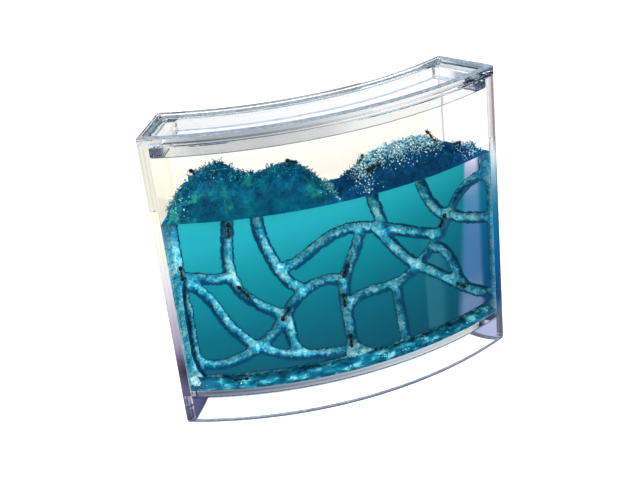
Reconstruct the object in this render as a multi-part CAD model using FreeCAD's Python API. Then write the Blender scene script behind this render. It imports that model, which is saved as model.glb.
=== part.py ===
import FreeCAD, Part
import math
import os

from FreeCAD import Vector

# Ant habitat: a tall clear tank, bowed in plan, that holds a block of clear blue gel for
# harvester ants to dig in, closed by a flush lid with a plug. All lengths in millimetres.
# Frame: +Z up, the convex front faces -Y, origin at the centre of the base of the bounding box.

# ---- plan: the tank is a sector of a ring, seen from above ------------------------------------
FRONT_RADIUS = 181.0        # outer face of the bowed front panel
DEPTH = 33.0                # front face to back face, along a radius
HALF_ANGLE = 28.0           # degrees from the middle to the outer face of either end wall

# ---- tank -------------------------------------------------------------------------------------
TANK_HEIGHT = 143.1         # base edge to the rim that the lid sits on
PANEL_THICKNESS = 2.8       # bowed front and back panels
END_THICKNESS = 4.0         # flat end walls
FLOOR_THICKNESS = 3.0
FLOOR_UNDERSIDE = 14.0      # open hollow between the table and the floor plate
CORNER_RADIUS = 1.2         # upright outer corners of the tank and the lid
EDGE_BEVEL = 0.4            # bevel along the lid's top edge
CEMENT_GAP = 0.1            # cement line between two bonded pieces

# ---- lid --------------------------------------------------------------------------------------
LID_HEIGHT = 4.4            # rim of the cover above the tank
BORDER_WIDTH = 3.6          # raised border around the sunk panel
RECESS_DEPTH = 1.4
PLUG_DEPTH = 5.8            # how far the plug reaches into the tank
PLUG_WALL = 1.8             # bowed walls of the plug
PLUG_END = 6.0              # thick ends of the plug
PLUG_CLEARANCE = 0.3        # plug to tank wall, all round
PLUG_LEAD_IN = 0.6          # chamfer that guides the plug into the tank
AIR_HOLE_DIAMETER = 1.2
AIR_HOLE_INSET = 8.2        # from the outer face of the end wall

# ---- gel and its tunnels ----------------------------------------------------------------------
GEL_HEIGHT = 88.6
GEL_CLEARANCE = 0.2         # gel to tank wall
TUNNEL_RADIUS = 2.8
TUNNEL_SINK = 1.4           # axis of a tunnel behind the gel's front face
TUNNEL_RUN = 7.0            # straight runs that a tunnel's axis is cut into
TUNNEL_SIDES = 8
GALLERY_HEIGHT = 8.4        # wide gallery dug along the foot of the front face
GALLERY_DEPTH = 6.0
CRUMB_HEIGHT = 2.4          # bank of loose crumbs along the gallery
CRUMB_CLEARANCE = 0.25
ROUTE_ROOF = 0.0948         # share of the gel's height at which a route meets the gallery's roof

# Routes of the tunnels on the gel's front face: each point is (across, up), where across runs
# from -1 at the left end of the gel to 1 at the right end and up from 0 at its foot to 1 at its
# top. A route that starts above 1 opens through the top of the gel.
TUNNELS = {
    "left_shaft": [(-0.94, 1.04), (-0.945, 0.80), (-0.94, 0.60), (-0.935, 0.30), (-0.925, 0.07)],
    "edge_shaft": [(-0.985, 1.04), (-0.985, 0.50), (-0.98, 0.07)],
    "left_link": [(-0.95, 0.70), (-0.86, 0.69), (-0.76, 0.672), (-0.665, 0.675)],
    "second_shaft": [(-0.635, 1.04), (-0.656, 0.88), (-0.667, 0.73), (-0.645, 0.63),
                     (-0.51, 0.485), (-0.38, 0.405)],
    "long_slope": [(-0.95, 0.665), (-0.86, 0.63), (-0.74, 0.443), (-0.615, 0.283),
                   (-0.40, 0.177), (-0.225, 0.15), (-0.05, 0.135)],
    "third_shaft": [(-0.485, 1.04), (-0.478, 0.917), (-0.407, 0.70), (-0.366, 0.623),
                    (-0.285, 0.56)],
    "middle_rise": [(-0.925, 0.185), (-0.855, 0.158), (-0.77, 0.162), (-0.60, 0.231),
                    (-0.45, 0.345), (-0.34, 0.49), (-0.275, 0.547), (-0.05, 0.562)],
    "low_middle": [(-0.386, 0.40), (-0.38, 0.30), (-0.355, 0.20), (-0.31, 0.155)],
    "arch": [(-0.39, 0.69), (-0.31, 0.708), (-0.14, 0.808), (-0.02, 0.845), (0.145, 0.82),
             (0.39, 0.724), (0.59, 0.65)],
    "fourth_shaft": [(0.16, 1.04), (0.165, 0.96), (0.19, 0.89), (0.205, 0.82)],
    "centre_drop": [(0.075, 0.82), (0.006, 0.665), (-0.048, 0.54), (-0.054, 0.45),
                    (-0.043, 0.30), (-0.05, 0.07)],
    "long_rise": [(0.97, 0.885), (0.82, 0.883), (0.738, 0.851), (0.627, 0.722), (0.515, 0.603),
                  (0.352, 0.485), (0.263, 0.457), (0.072, 0.456), (-0.04, 0.40)],
    "right_slope": [(0.15, 0.83), (0.23, 0.73), (0.346, 0.578), (0.524, 0.441), (0.713, 0.291),
                    (0.93, 0.158)],
    "fifth_shaft": [(0.455, 1.04), (0.48, 0.943), (0.515, 0.869), (0.66, 0.73)],
    "short_branch": [(0.52, 0.60), (0.60, 0.55), (0.655, 0.46), (0.73, 0.285)],
    "right_drop": [(0.262, 0.47), (0.266, 0.376), (0.276, 0.274), (0.299, 0.07)],
    "right_shaft": [(0.975, 1.04), (0.98, 0.88), (0.985, 0.60), (0.985, 0.35), (0.985, 0.07)],
    "corner_shaft": [(0.925, 1.04), (0.93, 0.96), (0.945, 0.87)],
    "right_loop": [(0.66, 0.745), (0.758, 0.69), (0.856, 0.655), (0.965, 0.62)],
    "low_right": [(-0.045, 0.20), (0.0, 0.125), (0.084, 0.07), (0.20, 0.045), (0.29, 0.07)],
}

# ---- mounds of dug gel on top: (across, height of the ridge) ----------------------------------
LEFT_RIDGE = [(-0.98, 3.4), (-0.84, 16.0), (-0.68, 22.6), (-0.53, 17.2), (-0.41, 16.2),
              (-0.27, 18.4), (-0.13, 11.0), (-0.06, 4.8), (-0.012, 2.6)]
RIGHT_RIDGE = [(0.012, 2.6), (0.08, 4.4), (0.16, 10.0), (0.25, 13.6), (0.36, 14.8), (0.48, 16.0),
               (0.61, 14.0), (0.76, 7.0), (0.98, 3.0)]
# Section of a mound from the front to the back: (share of the depth, share of the ridge)
MOUND_PROFILE = [(0.0, 0.0), (0.02, 0.40), (0.12, 0.68), (0.26, 0.88), (0.42, 1.0), (0.58, 0.92),
                 (0.74, 0.66), (0.89, 0.36), (1.0, 0.0)]
MOUND_CLEARANCE = 0.4       # mound to tank wall
MOUND_SECTIONS = 22
CLOD_HEIGHT = 1.1           # clods that stand out of a mound's slopes, and the dips between them
CLOD_FADE = 5.0             # clods are lower where the mound is lower than this

# ---- ants -------------------------------------------------------------------------------------
ANT_LENGTH = 7.6            # jaws to tip of the abdomen
ANT_SIDES = 6               # facets around the body
ANT_FOOT_SPREAD = 1.35      # feet to either side of the body
ANT_FOOT_DROP = 1.3         # feet below the middle of the body
ANT_SEAT = 0.2              # gap that is left under a foot
# Rings of the body as shares of the ant's length: (place from the jaws, radius, lift)
ANT_RINGS = [(0.00, 0.030, -0.01), (0.05, 0.085, 0.00), (0.15, 0.112, 0.00), (0.24, 0.080, 0.00),
             (0.28, 0.028, 0.00), (0.33, 0.070, 0.02), (0.45, 0.078, 0.03), (0.56, 0.038, 0.00),
             (0.61, 0.040, 0.02), (0.65, 0.028, 0.00), (0.72, 0.100, 0.01), (0.85, 0.128, 0.02),
             (0.95, 0.080, 0.00), (1.00, 0.025, -0.01)]
ANT_FLATNESS = 0.9          # height of a ring over its width
# Legs of one side: (root, knee, foot) as shares of the length along the body
ANT_LEGS = [(0.34, 0.24, 0.16), (0.43, 0.45, 0.47), (0.52, 0.68, 0.80)]
LEG_THICKNESS = 0.26
LEG_SIDES = 3
ANTS_IN_TUNNELS = [("left_shaft", 0.34), ("second_shaft", 0.135), ("second_shaft", 0.625),
                   ("middle_rise", 0.595), ("centre_drop", 0.305), ("centre_drop", 0.53),
                   ("centre_drop", 0.86), ("long_rise", 0.355), ("right_slope", 0.775)]
# Ants on the heaps: (heap, across, share of the depth from the front, heading in degrees)
ANTS_ON_HEAPS = [("left", -0.80, 0.50, 100), ("left", -0.25, 0.45, 15), ("right", 0.21, 0.50, 60),
                 ("right", 0.22, 0.16, -20), ("right", 0.64, 0.40, 150),
                 ("right", 0.82, 0.30, 10), ("gallery", -0.70, 0.11, 162)]

# ---- derived values ---------------------------------------------------------------------------
BACK_RADIUS = FRONT_RADIUS - DEPTH
PHI = math.radians(HALF_ANGLE)
BACK_CORNER = BACK_RADIUS + CORNER_RADIUS                       # centre of the rounded corner
BACK_REACH = (BACK_CORNER * math.cos(PHI - math.asin(CORNER_RADIUS / BACK_CORNER))
              - CORNER_RADIUS)                                  # hindmost point of the corners
CENTRE_Y = (FRONT_RADIUS + BACK_REACH) / 2                      # axis of the ring
FLOOR_TOP = FLOOR_UNDERSIDE + FLOOR_THICKNESS
LID_TOP = TANK_HEIGHT + LID_HEIGHT
PANEL_TOP = LID_TOP - RECESS_DEPTH                              # sunk panel of the lid
INNER_FRONT = FRONT_RADIUS - PANEL_THICKNESS
INNER_BACK = BACK_RADIUS + PANEL_THICKNESS
GEL_FRONT = INNER_FRONT - GEL_CLEARANCE
GEL_BACK = INNER_BACK + GEL_CLEARANCE
GEL_END = END_THICKNESS + GEL_CLEARANCE
GEL_TOP = FLOOR_TOP + GEL_HEIGHT
GEL_ANGLE = PHI - math.asin(GEL_END / GEL_FRONT)                # half angle of the front face
UP = Vector(0, 0, 1)


def polar(radius, angle, height=0.0):
    """Point at a radius from the ring's axis; angle 0 is the middle of the front."""
    return Vector(radius * math.sin(angle), CENTRE_Y - radius * math.cos(angle), height)


def end_angle(radius, inset):
    """Angle at which a radius meets a plane parallel to the end wall's outer face."""
    return PHI - math.asin(inset / radius)


def plan_face(outer, inner, left, right, height):
    """Flat face between two radii and two end angles, each given as a function of the radius."""
    corners = [polar(outer, left(outer), height), polar(outer, right(outer), height),
               polar(inner, right(inner), height), polar(inner, left(inner), height)]
    front_middle = polar(outer, (left(outer) + right(outer)) / 2, height)
    back_middle = polar(inner, (left(inner) + right(inner)) / 2, height)
    edges = [Part.Arc(corners[0], front_middle, corners[1]).toShape(),
             Part.LineSegment(corners[1], corners[2]).toShape(),
             Part.Arc(corners[2], back_middle, corners[3]).toShape(),
             Part.LineSegment(corners[3], corners[0]).toShape()]
    return Part.Face(Part.Wire(edges))


def sector(outer, inner, inset, bottom, top):
    """Upright bowed block with both ends set in from the end walls' outer faces."""
    face = plan_face(outer, inner, lambda r: -end_angle(r, inset), lambda r: end_angle(r, inset),
                     bottom)
    return face.extrude(UP * (top - bottom))


def upright_edges(shape, radius):
    """Upright edges of a block that stand at one distance from the ring's axis."""
    found = []
    for edge in shape.Edges:
        middle = edge.CenterOfMass
        span = edge.BoundBox
        apart = math.hypot(middle.x, CENTRE_Y - middle.y)
        if span.ZLength > max(span.XLength, span.YLength) and abs(apart - radius) < 0.01:
            found.append(edge)
    return found


def level_edges(shape, height):
    """Edges that lie flat at one height."""
    return [edge for edge in shape.Edges
            if edge.BoundBox.ZLength < 0.001 and abs(edge.BoundBox.ZMin - height) < 0.001]


def panel(outer, inner, corner_at):
    """Bowed panel of the tank with its outer upright corners rounded."""
    block = sector(outer, inner, 0.0, 0.0, TANK_HEIGHT)
    return block.makeFillet(CORNER_RADIUS, upright_edges(block, corner_at))


def end_wall():
    """Right end wall: a flat plate between the two bowed panels."""
    outer = INNER_FRONT - CEMENT_GAP
    inner = INNER_BACK + CEMENT_GAP
    face = plan_face(outer, inner, lambda r: end_angle(r, END_THICKNESS), lambda r: PHI, 0.0)
    return face.extrude(UP * TANK_HEIGHT)


def floor_plate():
    """Raised floor; the walls run on below it as a skirt."""
    return sector(INNER_FRONT - CEMENT_GAP, INNER_BACK + CEMENT_GAP, END_THICKNESS,
                  FLOOR_UNDERSIDE, FLOOR_TOP)


def air_holes():
    """Drills for the pin-sized air holes near both ends of the lid."""
    middle = (FRONT_RADIUS + BACK_RADIUS) / 2
    length = LID_HEIGHT + PLUG_DEPTH + 2
    start = TANK_HEIGHT - PLUG_DEPTH - 1
    angle = end_angle(middle, AIR_HOLE_INSET)
    return [Part.makeCylinder(AIR_HOLE_DIAMETER / 2, length, polar(middle, side * angle, start))
            for side in (-1, 1)]


def lid_cover():
    """Cover flush with the tank's walls, its panel sunk inside a raised border."""
    cover = sector(FRONT_RADIUS, BACK_RADIUS, 0.0, TANK_HEIGHT, LID_TOP)
    corners = upright_edges(cover, FRONT_RADIUS) + upright_edges(cover, BACK_RADIUS)
    cover = cover.makeFillet(CORNER_RADIUS, corners)
    cover = cover.makeChamfer(EDGE_BEVEL, level_edges(cover, LID_TOP))
    pocket = sector(FRONT_RADIUS - BORDER_WIDTH, BACK_RADIUS + BORDER_WIDTH, BORDER_WIDTH,
                    PANEL_TOP, LID_TOP + 1)
    pocket_corners = (upright_edges(pocket, FRONT_RADIUS - BORDER_WIDTH)
                      + upright_edges(pocket, BACK_RADIUS + BORDER_WIDTH))
    pocket = pocket.makeFillet(CORNER_RADIUS, pocket_corners)
    return cover.cut([pocket] + air_holes())


def lid_plug():
    """Plug ring under the cover: thin bowed walls and thick ends, with a lead-in chamfer."""
    outer = INNER_FRONT - PLUG_CLEARANCE
    inner = INNER_BACK + PLUG_CLEARANCE
    inset = END_THICKNESS + PLUG_CLEARANCE
    bottom = TANK_HEIGHT - PLUG_DEPTH
    ring = sector(outer, inner, inset, bottom, TANK_HEIGHT)
    ring = ring.makeChamfer(PLUG_LEAD_IN, level_edges(ring, bottom))
    mouth = sector(outer - PLUG_WALL, inner + PLUG_WALL, inset + PLUG_END,
                   bottom - 1, TANK_HEIGHT + 1)
    mouth_corners = (upright_edges(mouth, outer - PLUG_WALL)
                     + upright_edges(mouth, inner + PLUG_WALL))
    mouth = mouth.makeFillet(CORNER_RADIUS, mouth_corners)
    return ring.cut([mouth] + air_holes())


def flat_faces(corners):
    """One flat face on four corners, or two triangles where the corners don't lie flat."""
    normal = (corners[1] - corners[0]).cross(corners[2] - corners[0])
    if abs(normal.dot(corners[3] - corners[0])) < 1e-7 * max(normal.Length, 1e-6):
        return [Part.Face(Part.makePolygon(corners + corners[:1]))]
    halves = ([corners[0], corners[1], corners[2]], [corners[0], corners[2], corners[3]])
    return [Part.Face(Part.makePolygon(half + half[:1])) for half in halves]


def facet_solid(rings):
    """Closed solid with flat facets through a run of rings of equally many corners."""
    faces = [Part.Face(Part.makePolygon(ring + ring[:1])) for ring in (rings[0], rings[-1])]
    for near, far in zip(rings, rings[1:]):
        for here in range(len(near)):
            there = (here + 1) % len(near)
            faces += flat_faces([near[here], near[there], far[there], far[here]])
    shell = Part.makeShell(faces)
    shell.sewShape()
    solid = Part.makeSolid(shell)
    if solid.Volume < 0:
        solid.reverse()
    return solid


def facet_tube(path, radius, sides, dome=0.0):
    """Many-sided tube along a path, mitred at each turn; dome is how far each end bulges."""
    heading = (path[1] - path[0]).normalize()
    across = heading.cross(Vector(0.3, 1, 0.2)).normalize()
    rise = heading.cross(across)
    ring = []
    for step in range(sides):
        turn = 2 * math.pi * (step + 0.5) / sides
        ring.append(path[0] + across * (radius * math.cos(turn)) + rise * (radius * math.sin(turn)))
    rings = [ring]
    if dome:
        rings.insert(0, [path[0] - heading * dome + (corner - path[0]) * 0.55 for corner in ring])
    for number in range(1, len(path)):
        point = path[number]
        heading = (point - path[number - 1]).normalize()
        ahead = heading
        if number + 1 < len(path):
            ahead = (path[number + 1] - point).normalize()
        mitre = heading + ahead
        rings.append([corner + heading * ((point - corner).dot(mitre) / heading.dot(mitre))
                      for corner in rings[-1]])
    if dome:
        rings.append([point + heading * dome + (corner - point) * 0.55 for corner in rings[-1]])
    return facet_solid(rings)


def route_height(up):
    """Height of a place on a route: what lies above the gallery moves with its roof."""
    if up < ROUTE_ROOF:
        return FLOOR_TOP + GALLERY_HEIGHT * up / ROUTE_ROOF
    return GEL_TOP - (GEL_HEIGHT - GALLERY_HEIGHT) * (1 - up) / (1 - ROUTE_ROOF)


def tunnel_axis(route):
    """Smooth axis of a tunnel, just behind the gel's front face."""
    radius = GEL_FRONT - TUNNEL_SINK
    curve = Part.BSplineCurve()
    curve.interpolate([polar(radius, across * GEL_ANGLE, route_height(up))
                       for across, up in route])
    return curve.toShape()


def tunnel_bore(axis):
    """Bore along a tunnel's axis, in short runs, with domed ends."""
    runs = max(2, round(axis.Length / TUNNEL_RUN))
    return facet_tube(axis.discretize(Number=runs + 1), TUNNEL_RADIUS, TUNNEL_SIDES,
                      0.6 * TUNNEL_RADIUS)


def gallery():
    """Low gallery dug right along the foot of the gel's front face, from wall to wall."""
    return sector(GEL_FRONT + 1, GEL_FRONT - GALLERY_DEPTH, 0.0, FLOOR_TOP - 1,
                  FLOOR_TOP + GALLERY_HEIGHT)


def gel_block(axes):
    """Gel that fills the tank above the floor, with the ants' tunnels and gallery cut in it."""
    gel = sector(GEL_FRONT, GEL_BACK, GEL_END, FLOOR_TOP, GEL_TOP)
    bores = [tunnel_bore(axis) for axis in axes.values()]
    return gel.cut(gallery().fuse(bores))


def floor_crumbs():
    """Bank of loose crumbs along the gallery: one heaped section turned about the axis."""
    outer = GEL_FRONT
    inner = GEL_FRONT - GALLERY_DEPTH + CRUMB_CLEARANCE
    width = outer - inner
    reach = end_angle(inner, END_THICKNESS + CRUMB_CLEARANCE)
    profile = [(inner, 0.0), (outer, 0.0), (outer, 0.6), (outer - 0.3 * width, 1.0),
               (inner + 0.25 * width, 0.9), (inner, 0.45)]
    corners = [polar(radius, -reach, FLOOR_TOP + share * CRUMB_HEIGHT)
               for radius, share in profile]
    section = Part.Face(Part.makePolygon(corners + corners[:1]))
    return section.revolve(Vector(0, CENTRE_Y, 0), UP, math.degrees(2 * reach))


def clod(section, place):
    """How far one corner of a mound's slope stands up or dips: clods and dips take turns."""
    sign = 1 if (section + place) % 2 else -1
    return CLOD_HEIGHT * sign * (0.7 + 0.3 * math.sin(2.3 * section + 4.1 * place))


def mound(ridge):
    """Heap of dug gel: lumpy facets through upright sections, steep at the front panel."""
    front = GEL_FRONT - MOUND_CLEARANCE
    width = front - GEL_BACK - MOUND_CLEARANCE
    limit = end_angle(front - width, GEL_END + MOUND_CLEARANCE)
    line = Part.BSplineCurve()
    line.interpolate([Vector(across * GEL_ANGLE * GEL_FRONT, 0, height)
                      for across, height in ridge])
    rings = []
    for section, point in enumerate(line.toShape().discretize(Number=MOUND_SECTIONS)):
        angle = max(-limit, min(limit, point.x / GEL_FRONT))
        ring = []
        for place, (depth, share) in enumerate(MOUND_PROFILE):
            height = share * point.z
            height += clod(section, place) * min(1.0, height / CLOD_FADE)
            ring.append(polar(front - depth * width, angle, GEL_TOP + height))
        rings.append(ring)
    return facet_solid(rings)


def ant_body():
    """Head, waist and abdomen as one faceted solid, head towards +X, middle at the origin."""
    rings = []
    for place, radius, lift in ANT_RINGS:
        ring = []
        for step in range(ANT_SIDES):
            turn = 2 * math.pi * step / ANT_SIDES
            ring.append(Vector((0.5 - place) * ANT_LENGTH, radius * ANT_LENGTH * math.cos(turn),
                               (lift + ANT_FLATNESS * radius * math.sin(turn)) * ANT_LENGTH))
        rings.append(ring)
    return facet_solid(rings)


def ant():
    """One harvester ant standing on six feet, ANT_FOOT_DROP below its middle."""
    legs = []
    for root, knee, foot in ANT_LEGS:
        for side in (-1, 1):
            path = [Vector((0.5 - root) * ANT_LENGTH, side * 0.2, 0.05),
                    Vector((0.5 - knee) * ANT_LENGTH, side * 0.85 * ANT_FOOT_SPREAD, 0.35),
                    Vector((0.5 - foot) * ANT_LENGTH, side * ANT_FOOT_SPREAD,
                           LEG_THICKNESS / 2 - ANT_FOOT_DROP)]
            legs.append(facet_tube(path, LEG_THICKNESS / 2, LEG_SIDES))
    return ant_body().fuse(legs)


def stand(shape, middle, forward, up):
    """Copy of a shape moved to a point, with its +X and +Z turned to two directions."""
    side = up.cross(forward).normalize()
    above = forward.cross(side)
    turn = FreeCAD.Matrix(forward.x, side.x, above.x, middle.x,
                          forward.y, side.y, above.y, middle.y,
                          forward.z, side.z, above.z, middle.z,
                          0, 0, 0, 1)
    placed = shape.copy()
    placed.Placement = FreeCAD.Placement(turn)
    return placed


def ant_in_tunnel(template, axis, share):
    """Ant inside a bore, walking down it with its back to the front panel."""
    where = axis.getParameterByLength(share * axis.Length)
    middle = axis.valueAt(where)
    heading = axis.tangentAt(where)
    outward = Vector(middle.x, middle.y - CENTRE_Y, 0).normalize()
    return stand(template, middle, heading, outward)


def ant_on_heap(template, heap, across, depth_share, heading):
    """Ant standing on a heap, square to its surface and a foot's gap above it."""
    radius = GEL_FRONT - depth_share * (GEL_FRONT - GEL_BACK)
    foot = polar(radius, across * GEL_ANGLE, heap.BoundBox.ZMin)
    ray = Part.makeLine(foot + UP * 0.5, foot + UP * 60)
    inside = ray.common(heap)
    ground = max(inside.Vertexes, key=lambda vertex: vertex.Z).Point
    surface = min(heap.Faces, key=lambda face: face.distToShape(Part.Vertex(ground))[0])
    normal = surface.normalAt(*surface.Surface.parameter(ground))
    normal = normal if normal.z > 0 else normal * -1
    turn = math.radians(heading)
    along = Vector(math.cos(turn), math.sin(turn), 0)
    forward = (along - normal * along.dot(normal)).normalize()
    height = 2 * ANT_FOOT_DROP
    for settle in range(3):
        placed = stand(template, ground + normal * height, forward, normal)
        height -= placed.distToShape(heap)[0] - ANT_SEAT
    return stand(template, ground + normal * height, forward, normal)


def ants(axes, heaps):
    """All ants, named in order: first those in the tunnels, then those on the heaps."""
    template = ant()
    colony = [ant_in_tunnel(template, axes[name], share) for name, share in ANTS_IN_TUNNELS]
    for heap, across, depth_share, heading in ANTS_ON_HEAPS:
        colony.append(ant_on_heap(template, heaps[heap], across, depth_share, heading))
    return {"ant_%02d" % number: shape for number, shape in enumerate(colony, 1)}


def build():
    """Every node of the habitat by name."""
    axes = {name: tunnel_axis(route) for name, route in TUNNELS.items()}
    heaps = {"left": mound(LEFT_RIDGE), "right": mound(RIGHT_RIDGE), "gallery": floor_crumbs()}
    right_wall = end_wall()
    nodes = {
        "front_panel": panel(FRONT_RADIUS, INNER_FRONT, FRONT_RADIUS),
        "back_panel": panel(INNER_BACK, BACK_RADIUS, BACK_RADIUS),
        "right_end_wall": right_wall,
        "left_end_wall": right_wall.mirror(Vector(0, 0, 0), Vector(1, 0, 0)),
        "floor_plate": floor_plate(),
        "lid_cover": lid_cover(),
        "lid_plug": lid_plug(),
        "gel_block": gel_block(axes),
        "floor_crumbs": heaps["gallery"],
        "left_mound": heaps["left"],
        "right_mound": heaps["right"],
    }
    nodes.update(ants(axes, heaps))
    return nodes


def main():
    os.makedirs("parts", exist_ok=True)
    for name, shape in build().items():
        print("%-16s solids %d valid %s volume %.1f" % (name, len(shape.Solids), shape.isValid(),
                                                       shape.Volume))
        shape.exportStep("parts/%s.step" % name)


main()
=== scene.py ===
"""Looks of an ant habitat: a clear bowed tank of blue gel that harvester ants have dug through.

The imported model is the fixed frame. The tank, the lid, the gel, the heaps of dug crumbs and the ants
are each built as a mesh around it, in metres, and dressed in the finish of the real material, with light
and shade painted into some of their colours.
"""

import logging
import math
from dataclasses import dataclass
from enum import Enum

import bpy
import numpy as np
from mathutils import Matrix, Vector
from mathutils.bvhtree import BVHTree


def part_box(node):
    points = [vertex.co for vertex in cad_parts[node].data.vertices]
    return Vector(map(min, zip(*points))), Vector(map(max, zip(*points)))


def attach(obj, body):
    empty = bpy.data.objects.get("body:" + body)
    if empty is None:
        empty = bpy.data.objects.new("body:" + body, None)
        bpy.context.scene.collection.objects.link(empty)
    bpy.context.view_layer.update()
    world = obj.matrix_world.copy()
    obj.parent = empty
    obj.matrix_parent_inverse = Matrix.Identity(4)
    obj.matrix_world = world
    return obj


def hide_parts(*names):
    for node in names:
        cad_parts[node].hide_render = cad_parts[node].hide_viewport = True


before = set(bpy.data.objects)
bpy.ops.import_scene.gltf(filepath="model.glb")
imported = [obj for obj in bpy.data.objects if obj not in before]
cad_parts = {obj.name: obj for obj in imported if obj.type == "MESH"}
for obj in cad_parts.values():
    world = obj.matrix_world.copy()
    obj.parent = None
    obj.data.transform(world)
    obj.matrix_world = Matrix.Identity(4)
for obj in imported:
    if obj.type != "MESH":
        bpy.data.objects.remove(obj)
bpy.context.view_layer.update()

LOG = logging.getLogger("ant_habitat")
MM = 0.001
LATTICE = 64                        # points to a side of the random lattice that soft_noise repeats
LATTICE_SHIFT = 1000.0              # steps of it that keep its places clear of zero
FRONT_BAND = 5.5                    # mm behind the front arc that still counts as the front of a shell


# ---- colours, nodes and meshes ----------------------------------------------------------------


def linear(hex_colour: str, alpha: float = 1.0) -> tuple[float, float, float, float]:
    """Turn an sRGB hex colour into the linear colour that a shader takes.

    Args:
        hex_colour: Six hex digits, with or without a leading #.
        alpha: Alpha to go with it.

    Returns:
        Linear red, green, blue and alpha.
    """
    digits = hex_colour.lstrip("#")
    channels = [int(digits[at:at + 2], 16) / 255 for at in (0, 2, 4)]
    red, green, blue = [c / 12.92 if c <= 0.04045 else ((c + 0.055) / 1.055) ** 2.4 for c in channels]
    return (red, green, blue, alpha)


def add_node(tree: bpy.types.NodeTree, kind: str, links: dict | None = None,
             stops: tuple | list = (), **settings) -> bpy.types.Node:
    """Add a shader node with its settings, plain socket values and links.

    Args:
        tree: Node tree that the node goes into.
        kind: Blender's node type, such as "ShaderNodeMath".
        links: Input socket name or number to an output socket or a plain value.
        stops: Places from 0 to 1 with their sRGB hex colours, where the node has a colour ramp.
        **settings: Properties of the node itself.

    Returns:
        The new node.
    """
    node = tree.nodes.new(kind)
    for name, value in settings.items():
        setattr(node, name, value)
    if stops:
        elements = node.color_ramp.elements
        while len(elements) < len(stops):
            elements.new(0.5)
        for element, (place, colour) in zip(elements, stops):
            element.position = place
            element.color = linear(colour)
    for name, source in (links or {}).items():
        if isinstance(source, bpy.types.NodeSocket):
            tree.links.new(source, node.inputs[name])
        else:
            node.inputs[name].default_value = source
    return node


def start_material(name: str) -> tuple[bpy.types.Material, bpy.types.NodeTree, bpy.types.Node]:
    """Make a material with an empty tree but for its output.

    Args:
        name: Name of the material.

    Returns:
        The material, its node tree and the output node.
    """
    material = bpy.data.materials.new(name)
    material.use_nodes = True
    tree = material.node_tree
    tree.nodes.clear()
    return material, tree, tree.nodes.new("ShaderNodeOutputMaterial")


def make_piece(name: str, points: np.ndarray, faces: list, materials: list[bpy.types.Material],
               slots: np.ndarray | None = None, crease: float | None = 35.0) -> bpy.types.Object:
    """Build one mesh object from points and faces.

    Args:
        name: Name of the piece.
        points: One row of x, y, z in metres for each vertex.
        faces: Corner numbers of each face.
        materials: Materials of the piece, in slot order.
        slots: Material slot of each face, all the first where left out.
        crease: Angle in degrees past which an edge stays sharp, or None for flat facets.

    Returns:
        The new object, linked to the scene.
    """
    mesh = bpy.data.meshes.new(name)
    mesh.from_pydata(np.asarray(points, float).tolist(), [], faces)
    for material in materials:
        mesh.materials.append(material)
    if slots is not None:
        mesh.polygons.foreach_set("material_index", np.asarray(slots, np.int32))
    if crease is not None:
        mesh.polygons.foreach_set("use_smooth", np.ones(len(mesh.polygons), bool))
        mesh.set_sharp_from_angle(angle=math.radians(crease))
    mesh.update()
    piece = bpy.data.objects.new(name, mesh)
    bpy.context.scene.collection.objects.link(piece)
    return piece


def solid_tree(node: str) -> BVHTree:
    """Tree for rays into the solid of a node of the frame, by its name."""
    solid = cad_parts[node].data
    return BVHTree.FromPolygons([v.co[:] for v in solid.vertices], [p.vertices[:] for p in solid.polygons])


def grid_faces(grid: np.ndarray) -> list[list[int]]:
    """Four-sided faces over a grid of points.

    Args:
        grid: Numbers of the points in rows and columns.

    Returns:
        Corner numbers of each face.
    """
    return np.stack([grid[:-1, :-1], grid[:-1, 1:], grid[1:, 1:], grid[1:, :-1]], -1).reshape(-1, 4).tolist()


def mark_points(piece: bpy.types.Object, marks: dict[str, np.ndarray]) -> None:
    """Store marks on the points of a piece, for its finish to read.

    Args:
        piece: The piece.
        marks: Values of each mark by its name, one for each point.
    """
    for name, values in marks.items():
        mark = piece.data.attributes.new(name, "FLOAT", "POINT")
        mark.data.foreach_set("value", np.asarray(values, np.float32))


def soft_noise(across: np.ndarray, up: np.ndarray, size: float, seed: int) -> np.ndarray:
    """Smooth random field over a plane.

    Args:
        across: First coordinate of each place, in mm.
        up: Second coordinate of each place, in mm.
        size: Spacing of the random lattice, in mm.
        seed: Seed of the lattice.

    Returns:
        Values from -1 to 1, one for each place.
    """
    lattice = np.random.default_rng(seed).uniform(-1, 1, (LATTICE, LATTICE))
    u, v = np.asarray(across) / size + LATTICE_SHIFT, np.asarray(up) / size + LATTICE_SHIFT
    i, j = np.floor(u).astype(int), np.floor(v).astype(int)
    a, b = u - i, v - j
    a, b = a * a * (3 - 2 * a), b * b * (3 - 2 * b)
    corner = [lattice[(i + right) % LATTICE, (j + above) % LATTICE]
              for right, above in ((0, 0), (1, 0), (0, 1), (1, 1))]
    return (corner[0] * (1 - a) + corner[1] * a) * (1 - b) + (corner[2] * (1 - a) + corner[3] * a) * b


def blur(grid: np.ndarray, radius: float) -> np.ndarray:
    """Blur a grid with a round bell.

    Args:
        grid: Values in rows and columns.
        radius: Standard deviation of the bell, in cells.

    Returns:
        The blurred grid, of the same shape.
    """
    reach = max(1, math.ceil(3 * radius))
    bell = np.exp(-0.5 * (np.arange(-reach, reach + 1) / radius) ** 2)
    bell /= bell.sum()
    for axis in (0, 1):
        padded = np.pad(grid, [(reach, reach) if k == axis else (0, 0) for k in (0, 1)], mode="edge")
        grid = np.apply_along_axis(lambda line: np.convolve(line, bell, mode="valid"), axis, padded)
    return grid


# ---- finishes ---------------------------------------------------------------------------------


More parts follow.
